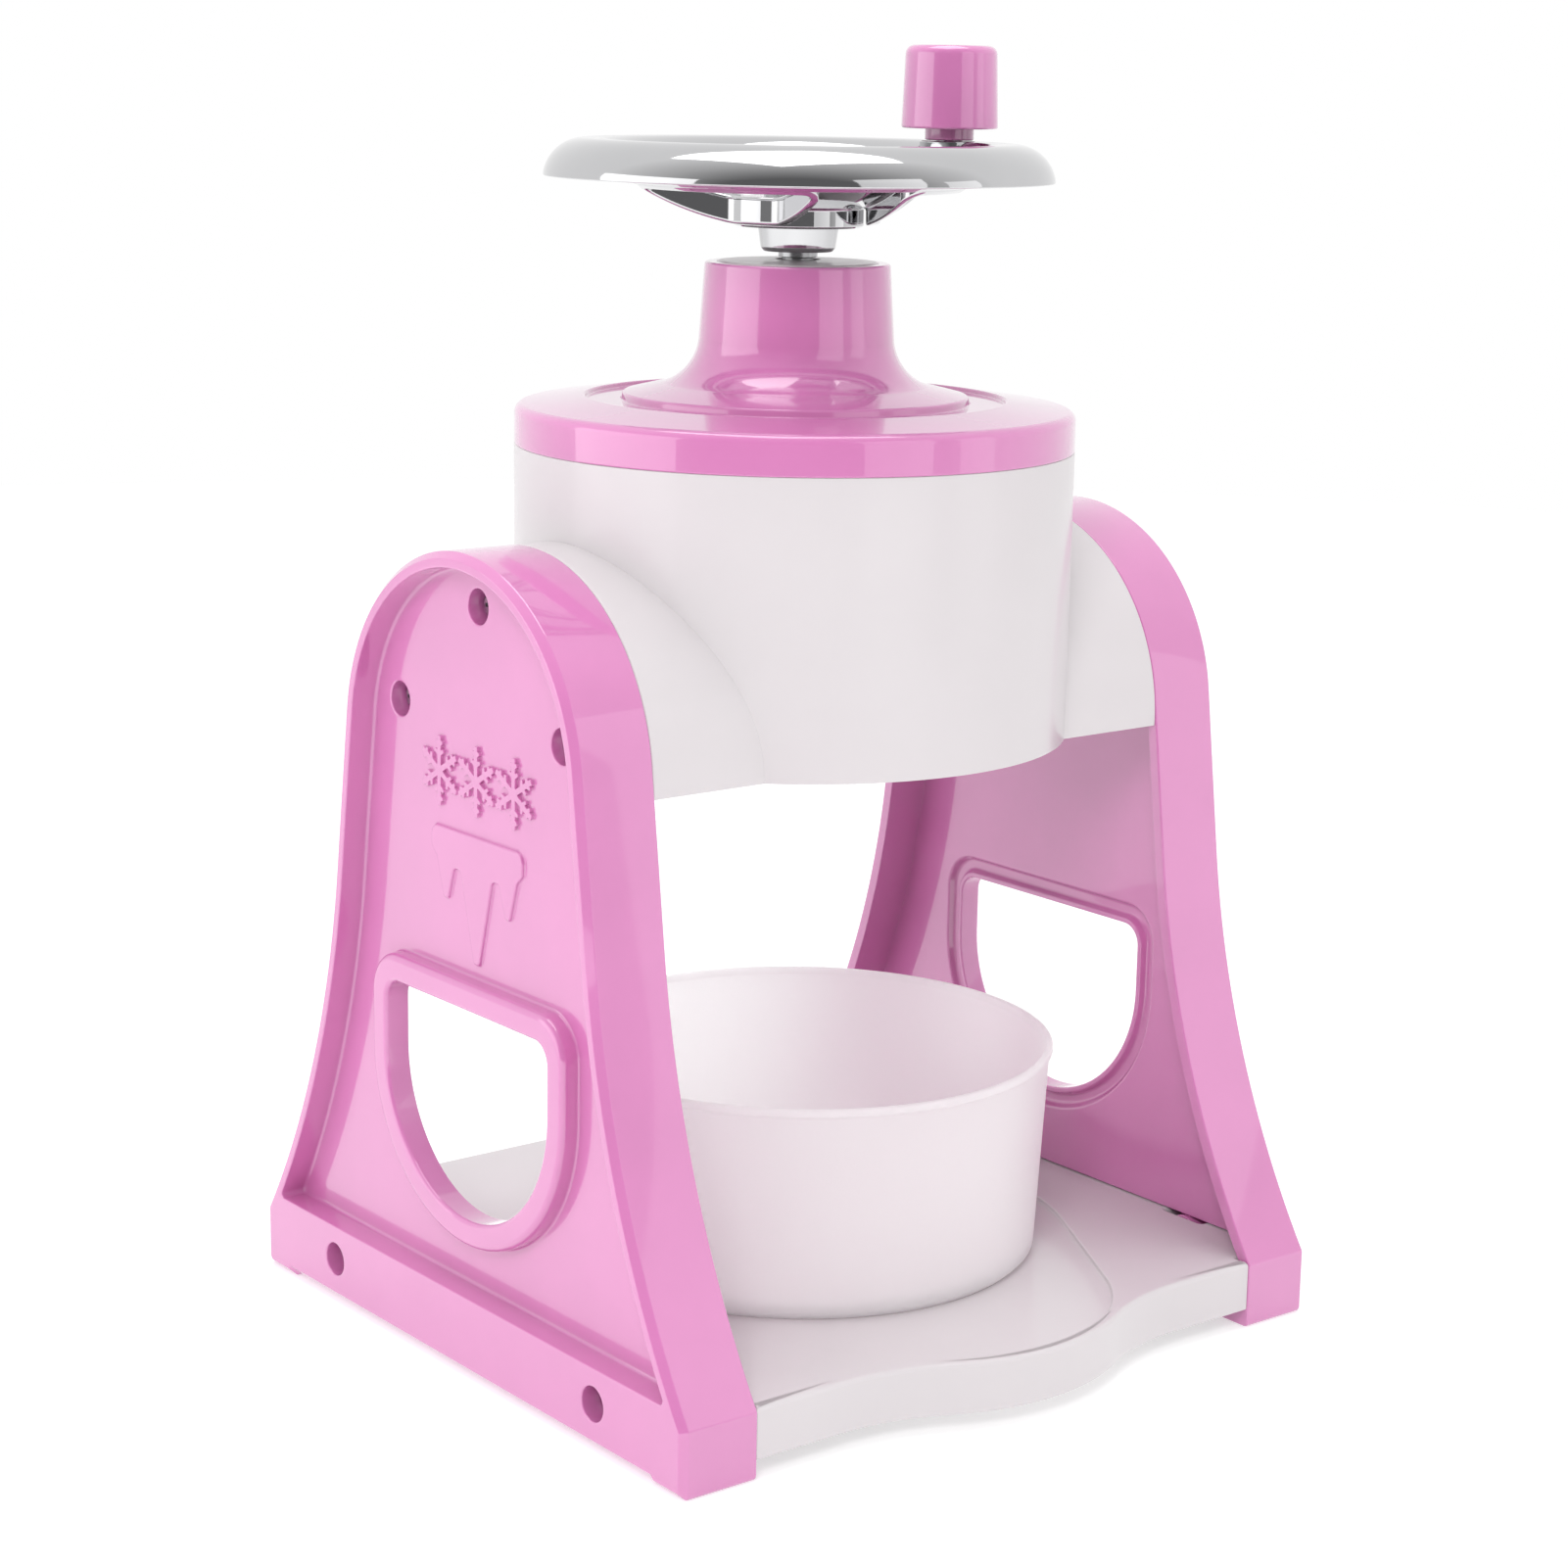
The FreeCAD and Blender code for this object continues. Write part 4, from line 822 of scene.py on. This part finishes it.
def dish_cell(bm, opening, turn):
    """A third of the dish round its opening: upper side, edge of the opening, and channel below."""
    spin = Matrix.Rotation(math.radians(turn), 3, "Z")
    top_edge = cell_edge(*DISH_R)
    channel_edge = cell_edge(*CHANNEL_R)

    def lay(loop, bow, lift=0.0):
        heights = [dish_height(bow, math.hypot(x, y)) + lift for x, y in loop]
        return [bm.verts.new(spin @ Vector((x, y, z))) for (x, y), z in zip(loop, heights)]

    mouth = offset(opening, TOP_LIP[0][0])
    foot = offset(opening, CHANNEL_LIP[-1][0])
    layers = [lay(blended(mouth, top_edge, share), TOP_BOW) for share in reversed(CELL_SHARES)]
    for bow, lip in ((TOP_BOW, TOP_LIP), (LOW_BOW, LOW_LIP), (CHANNEL_BOW, CHANNEL_LIP)):
        layers += [lay(offset(opening, grow), bow, lift) for grow, lift in lip]
    layers += [lay(blended(foot, channel_edge, share), CHANNEL_BOW) for share in CELL_SHARES]
    for near, far in zip(layers, layers[1:]):
        bridge(bm, near, far)


def wheel_strip(bm, profile, count):
    """Open surface of revolution, its points in line with those of the dish's cells."""
    turns = [math.radians(OPENING_TURN + 60 + 360 * k / count) for k in range(count)]
    rings = [ring(bm, in_plan((r, turn) for turn in turns), z, on_top) for r, z in profile]
    for near, far in zip(rings, rings[1:]):
        bridge(bm, near, far)


def hub_profile():
    """Bored hub, from the channel round its underside to the dish."""
    channel_r = CHANNEL_R[0]
    channel_z = dish_height(CHANNEL_BOW, channel_r)
    dish_r = DISH_R[0]
    return [(channel_r, channel_z, 0), (15.0, channel_z - 0.3, 0.5), (15.0, 257.75, 0.3), (14.4, 257.3, 0.3),
            (3.5, 257.3, 0.2), (3.5, 264.0, 0.3), (13.6, 264.0, 0.4),
            (dish_r, dish_height(TOP_BOW, dish_r), 0)]


def rim_profile():
    """Hollow rim, from the channel round its inside and outside to the dish."""
    low = WHEEL_RIM_Z
    channel_r = CHANNEL_R[1]
    channel_z = dish_height(CHANNEL_BOW, channel_r)
    line = [(channel_r, channel_z, 0), (37.4, channel_z, 0.5), (37.4, 266.2, 0.3), (39.3, 267.2, 0.4),
            (39.0, 270.0, 0.5)]
    line += swept((40.2, 271.6), (42.6, 273.2), (47.5, 274.7), 8)
    line += swept((47.5, 274.7), (54.2, 272.7), (56.7, low), 16)[1:-1]
    line += [(56.7, low, 0.25), (58.5, low, 0.3)]
    line += swept((58.5, low + 0.5), (55.6, 274.0), (47.5, 276.5), 28)[1:]
    line += swept((47.5, 276.5), (42.2, 275.4), TOP_BOW[-1], 16)[1:]
    return line


def handwheel():
    """Rim shell, a dish with three openings and channelled spokes, and a hub."""
    bm = bmesh.new()
    opening = shared_out(opening_outline(), opening_marks(), (ARC_OUT, ALONG, ARC_IN, ALONG))
    for turn in (0, 120, 240):
        dish_cell(bm, opening, OPENING_TURN + turn)
    wheel_strip(bm, soft(hub_profile(), steps=4), 3 * ARC_IN)
    wheel_strip(bm, soft(rim_profile(), steps=4), 3 * ARC_OUT)
    return made("handwheel_body", bm, sharp=50.0)


def turned_piece(name, profile, centre=(0.0, 0.0), turns=160, steps=5):
    """Piece turned from an outline of (radius, height, rounding) corners."""
    bm = bmesh.new()
    lathe(bm, rounded(profile, steps=steps), turns=turns)
    return made(name, bm, centre=centre)


def knob_pad():
    """Raised pad on the wheel's rim, bored for the knob's pin."""
    low = 271.25
    high = 276.6
    return turned_piece("knob_pad", [
        (2.52, low, 0), (7.0, low, 0.4), (7.0, high, 0.35), (2.52, high, 0)], centre=(KNOB_X, 0.0))


def hub_collar():
    """Tapered collar under the wheel's hub."""
    low = COLLAR_LOW.z
    high = COLLAR_HIGH.z
    return turned_piece("hub_collar_body", [
        (3.52, low, 0), (7.9, low, 0.3), (8.6, low + 0.8, 0.8), (9.3, high, 0.2), (3.52, high, 0)])


def crank_knob():
    """Finger knob, hollow round the sleeve that turns on its pin."""
    low = KNOB_LOW.z
    return turned_piece("crank_knob_body", [
        (3.06, low, 0.2), (5.8, low, 0.4), (5.8, 293.5, 0.3), (9.0, 293.5, 0.3), (9.4, 279.4, 0.3),
        (11.44, 279.4, 0.55), (10.75, KNOB_TOP, 2.1), (0.0, KNOB_TOP, 0), (0.0, 295.2, 0), (3.75, 295.2, 0.3),
        (3.75, 291.5, 0.2), (3.06, 290.9, 0.2)], centre=(KNOB_X, 0.0), turns=192, steps=8)


def hexagonal(radius, height, angle):
    """Radius cut back to the six flats of the cap nut, outside its dome."""
    if radius < DOME_R + 0.05:
        return radius
    across = NUT_FLAT / math.cos((angle + math.pi / 6) % (math.pi / 3) - math.pi / 6)
    return min(across, radius)


def cap_nut():
    """Hexagonal nut with bevelled corners under a round cap."""
    bore_r = 3.52
    low = CAP_LOW.z
    dome_z = low + 4.0
    bore_z = low + 5.6
    point = NUT_FLAT / math.cos(math.pi / 6)
    profile = rounded([
        (bore_r, low, 0), (point - 0.45, low, 0), (point, low + 0.35, 0), (point, dome_z - 0.5, 0),
        (NUT_FLAT - 0.05, dome_z, 0), (DOME_R, dome_z, 0.15), (DOME_R, dome_z + 0.4, 0.2)], closed=False)[:-1]
    profile += arc((0, dome_z), DOME_R, 5, 90, 18)[:-1]
    profile += [(0.0, dome_z + DOME_R), (0.0, bore_z), (bore_r, bore_z)]
    bm = bmesh.new()
    lathe(bm, profile, turns=240, bulge=hexagonal)
    return made("wheel_cap_nut", bm, sharp=25.0)


# ---- Materials ----
def add_clouds(tree, place, colour, tint, roughness, spread):
    """Soft clouds in colour and roughness on the surface shader."""
    surface = tree.nodes["Principled BSDF"]
    cloud = tree.nodes.new("ShaderNodeTexNoise")
    cloud.inputs["Scale"].default_value = 38.0
    cloud.inputs["Detail"].default_value = 4.0
    tree.links.new(place.outputs["Object"], cloud.inputs["Vector"])
    shades = tree.nodes.new("ShaderNodeValToRGB")
    shades.color_ramp.elements[0].position = 0.3
    shades.color_ramp.elements[1].position = 0.7
    for element, gain in zip(shades.color_ramp.elements, (1 - tint, 1 + tint)):
        element.color = [min(1.0, c * gain) for c in colour] + [1.0]
    tree.links.new(cloud.outputs["Fac"], shades.inputs["Fac"])
    tree.links.new(shades.outputs["Color"], surface.inputs["Base Color"])
    rough = tree.nodes.new("ShaderNodeMapRange")
    rough.inputs["To Min"].default_value = roughness - spread
    rough.inputs["To Max"].default_value = roughness + spread
    tree.links.new(cloud.outputs["Fac"], rough.inputs["Value"])
    tree.links.new(rough.outputs["Result"], surface.inputs["Roughness"])


def add_grain(tree, place, strength, size, stretch):
    """Fine moulded or ground grain as a bump on the surface shader."""
    lie = tree.nodes.new("ShaderNodeMapping")
    lie.inputs["Scale"].default_value = stretch
    tree.links.new(place.outputs["Object"], lie.inputs["Vector"])
    fine = tree.nodes.new("ShaderNodeTexNoise")
    fine.inputs["Scale"].default_value = size
    fine.inputs["Detail"].default_value = 2.0
    tree.links.new(lie.outputs["Vector"], fine.inputs["Vector"])
    bump = tree.nodes.new("ShaderNodeBump")
    bump.inputs["Strength"].default_value = strength
    bump.inputs["Distance"].default_value = 0.0002
    tree.links.new(fine.outputs["Fac"], bump.inputs["Height"])
    tree.links.new(bump.outputs["Normal"], tree.nodes["Principled BSDF"].inputs["Normal"])


def finish_of(name, colour, roughness, spread=0.04, tint=0.03, grain=0.03, grain_size=2600.0,
              stretch=(1, 1, 1), **inputs):
    """Principled surface with cloudy colour and roughness and a fine grain; inputs name its sockets."""
    material = bpy.data.materials.new(name)
    material.use_nodes = True
    tree = material.node_tree
    surface = tree.nodes["Principled BSDF"]
    surface.inputs["Subsurface Radius"].default_value = (1.0, 1.0, 1.0)
    for key, value in inputs.items():
        surface.inputs[key.replace("_", " ")].default_value = value
    place = tree.nodes.new("ShaderNodeTexCoord")
    add_clouds(tree, place, colour, tint, roughness, spread)
    add_grain(tree, place, grain, grain_size, stretch)
    return material


PINK = finish_of("pink_plastic", (0.62, 0.195, 0.447), 0.2, spread=0.03, grain=0.02,
                 Coat_Weight=1.0, Coat_Roughness=0.03, Coat_IOR=1.75,
                 Subsurface_Weight=0.06, Subsurface_Scale=0.004)
WHITE = finish_of("white_plastic", (0.64, 0.603, 0.619), 0.3, tint=0.012,
                  Coat_Weight=0.35, Coat_Roughness=0.1, Subsurface_Weight=0.08, Subsurface_Scale=0.004)
# The frosted plastic's faint pinkish emission is a painted glow: it brightens and tints the bowl with light
# of its own, though the bowl is no lamp.
GLOWING_FROSTED = finish_of("frosted_plastic", (0.95, 0.885, 0.91), 0.34, tint=0.008, grain=0.1, grain_size=1500.0,
                    Transmission_Weight=0.12, IOR=1.3, Subsurface_Weight=0.9, Subsurface_Scale=0.03,
                    Emission_Color=(1.0, 0.94, 0.965, 1.0), Emission_Strength=0.08)
NYLON = finish_of("nylon", (0.84, 0.83, 0.78), 0.5, tint=0.03, grain=0.08,
                  Subsurface_Weight=0.2, Subsurface_Scale=0.003)
CHROME = finish_of("chrome", (0.58, 0.58, 0.59), 0.05, spread=0.02, tint=0.02, grain=0.004, Metallic=1.0)
STEEL = finish_of("brushed_steel", (0.50, 0.50, 0.51), 0.28, spread=0.06, tint=0.08, grain=0.08,
                  grain_size=900.0, stretch=(0.12, 0.12, 3.0), Metallic=1.0)
FINISHES = {"pink_plastic": PINK, "white_plastic": WHITE, "frosted_plastic": GLOWING_FROSTED, "nylon": NYLON,
            "chrome": CHROME, "brushed_steel": STEEL}


# ---- The object ----
PIECES = [
    (side_panel("panel_right", 1), "frame", "pink_plastic", ["side_panel_right"]),
    (side_panel("panel_left", -1), "frame", "pink_plastic", ["side_panel_left"]),
    (hopper(), "frame", "white_plastic", ["hopper", "hopper_floor", "hopper_wing_left", "hopper_wing_right"]),
    (base_plate(), "frame", "white_plastic", ["base_plate"]),
    (bowl(), "bowl", "frosted_plastic", ["bowl"]),
    (lid(), "lid", "pink_plastic", ["lid"]),
    (feed_nut(), "lid", "white_plastic", ["feed_nut"]),
    (handwheel(), "drive", "chrome", ["handwheel"]),
    (knob_pad(), "drive", "chrome", []),
    (hub_collar(), "drive", "chrome", ["hub_collar"]),
    (cap_nut(), "drive", "chrome", ["wheel_nut"]),
    (crank_knob(), "knob", "pink_plastic", ["crank_knob"]),
]
for piece, body, finish, stands_for in PIECES:
    piece.data.materials.append(FINISHES[finish])
    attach(piece, body)
    if stands_for:
        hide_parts(*stands_for)

covered = {node for piece, body, finish, stands_for in PIECES for node in stands_for}
for part in frame["record"]["subparts"]:
    if part["node"] not in covered:
        node = frame["nodes"][part["node"]]
        node.data.materials.clear()
        node.data.materials.append(FINISHES[part["material_slot"]])


# ---- Floor, light and camera ----
MIDDLE = Vector((0.0, 0.0, 0.15))               # the point at which the lights aim, in metres
SWEEP_SIDE = (0.62, 0.78, 0.0)                  # direction of the white sweep, behind the object
CAMERA_PLACE = (-0.47322, -0.59072, 0.29284)
CAMERA_HEADING = -0.6692                        # radians: towards +X from +Y, down, and roll
CAMERA_DIP = 0.2152
CAMERA_ROLL = 0.0177
LENS = 75.27
SENSOR = 36.0


def floor():
    """Round pale floor, in metres about the origin."""
    bm = bmesh.new()
    rings = [ring(bm, circle((0, 0), radius, 96), 0.0, on_top) for radius in (0.3, 0.6, 1.0, 1.6)]
    bm.faces.new(rings[0])
    for near, far in zip(rings, rings[1:]):
        bridge(bm, near, far)
    bmesh.ops.recalc_face_normals(bm, faces=bm.faces)
    mesh = bpy.data.meshes.new("floor")
    bm.to_mesh(mesh)
    bm.free()
    ground = bpy.data.objects.new("floor", mesh)
    bpy.context.scene.collection.objects.link(ground)
    mesh.materials.append(finish_of(
        "pale_floor", (0.62, 0.62, 0.62), 0.9, tint=0.005, grain=0.0, spread=0.03,
        Specular_IOR_Level=0.0, Emission_Color=(1, 1, 1, 1), Emission_Strength=0.5))
    return ground


def softbox(name, place, size, power, mirrored=True):
    """Area light aimed at the middle of the object; reflections leave it out unless it is mirrored."""
    light = bpy.data.lights.new(name, "AREA")
    light.shape = "RECTANGLE"
    light.size, light.size_y = size
    light.energy = power
    lamp = bpy.data.objects.new(name, light)
    lamp.location = place
    lamp.rotation_euler = (MIDDLE - Vector(place)).to_track_quat("-Z", "Y").to_euler()
    lamp.visible_camera = False
    lamp.visible_glossy = mirrored
    bpy.context.scene.collection.objects.link(lamp)
    return lamp


floor()
softbox("key_softbox", (-0.80, -0.72, 0.85), (0.4, 0.4), 6.8, mirrored=False)
softbox("left_softbox", (-1.0, 0.36, 0.33), (1.0, 0.66), 2.5)
softbox("right_softbox", (0.06, -1.09, 0.42), (0.6, 0.9), 1.3)
softbox("side_softbox", (0.68, -0.85, 0.32), (0.35, 0.7), 0.4)
softbox("top_softbox", (0.0, 0.1, 1.5), (1.0, 1.0), 8.0)


def grey_ramp(tree, stops):
    """Colour ramp through (position, colour) stops."""
    ramp = tree.nodes.new("ShaderNodeValToRGB")
    steps = ramp.color_ramp.elements
    for step, (position, colour) in ((steps[0], stops[0]), (steps[1], stops[-1])):
        step.position = position
        step.color = (*colour, 1.0)
    for position, colour in stops[1:-1]:
        steps.new(position).color = (*colour, 1.0)
    return ramp


def white_sweep(tree, direction):
    """Brightness of the room by compass direction, white behind the object and dark in front of it."""
    ahead = tree.nodes.new("ShaderNodeVectorMath")
    ahead.operation = "DOT_PRODUCT"
    ahead.inputs[1].default_value = SWEEP_SIDE
    tree.links.new(direction.outputs["Generated"], ahead.inputs[0])
    half = tree.nodes.new("ShaderNodeMapRange")
    half.inputs["From Min"].default_value = -1.0
    tree.links.new(ahead.outputs["Value"], half.inputs["Value"])
    sweep = grey_ramp(tree, [(0.08, (0.16, 0.16, 0.163)), (0.3, (0.6,) * 3), (0.55, (0.98,) * 3)])
    tree.links.new(half.outputs["Result"], sweep.inputs["Fac"])
    return sweep


def ceiling_glow(tree, direction):
    """Brightness of the room by height."""
    height = tree.nodes.new("ShaderNodeSeparateXYZ")
    tree.links.new(direction.outputs["Generated"], height.inputs["Vector"])
    glow = grey_ramp(tree, [(0.0, (0.1,) * 3), (0.55, (0.1,) * 3), (0.7, (0.25,) * 3), (0.9, (0.3,) * 3)])
    tree.links.new(height.outputs["Z"], glow.inputs["Fac"])
    return glow


def studio(scene):
    """The brighter of the sweep and the ceiling lights the object; the camera sees plain white."""
    world = bpy.data.worlds.new("studio")
    world.use_nodes = True
    scene.world = world
    tree = world.node_tree
    direction = tree.nodes.new("ShaderNodeTexCoord")
    room = tree.nodes.new("ShaderNodeMix")
    room.data_type = "RGBA"
    room.blend_type = "LIGHTEN"
    room.inputs["Factor"].default_value = 1.0
    tree.links.new(white_sweep(tree, direction).outputs["Color"], room.inputs["A"])
    tree.links.new(ceiling_glow(tree, direction).outputs["Color"], room.inputs["B"])
    seen = tree.nodes.new("ShaderNodeLightPath")
    plain = tree.nodes.new("ShaderNodeMix")
    plain.data_type = "RGBA"
    plain.inputs["B"].default_value = (1.0, 1.0, 1.0, 1.0)
    tree.links.new(seen.outputs["Is Camera Ray"], plain.inputs["Factor"])
    tree.links.new(room.outputs["Result"], plain.inputs["A"])
    tree.links.new(plain.outputs["Result"], tree.nodes["Background"].inputs["Color"])


studio(bpy.context.scene)
bpy.context.scene.view_settings.view_transform = "Standard"

lens = bpy.data.cameras.new("photo_camera")
lens.lens = LENS
lens.sensor_width = SENSOR
camera = bpy.data.objects.new("photo_camera", lens)
bpy.context.scene.collection.objects.link(camera)
camera.matrix_world = (Matrix.Translation(CAMERA_PLACE)
                       @ Matrix.Rotation(CAMERA_HEADING, 4, "Z")
                       @ Matrix.Rotation(math.pi / 2 - CAMERA_DIP, 4, "X")
                       @ Matrix.Rotation(CAMERA_ROLL, 4, "Z"))
bpy.context.scene.camera = camera
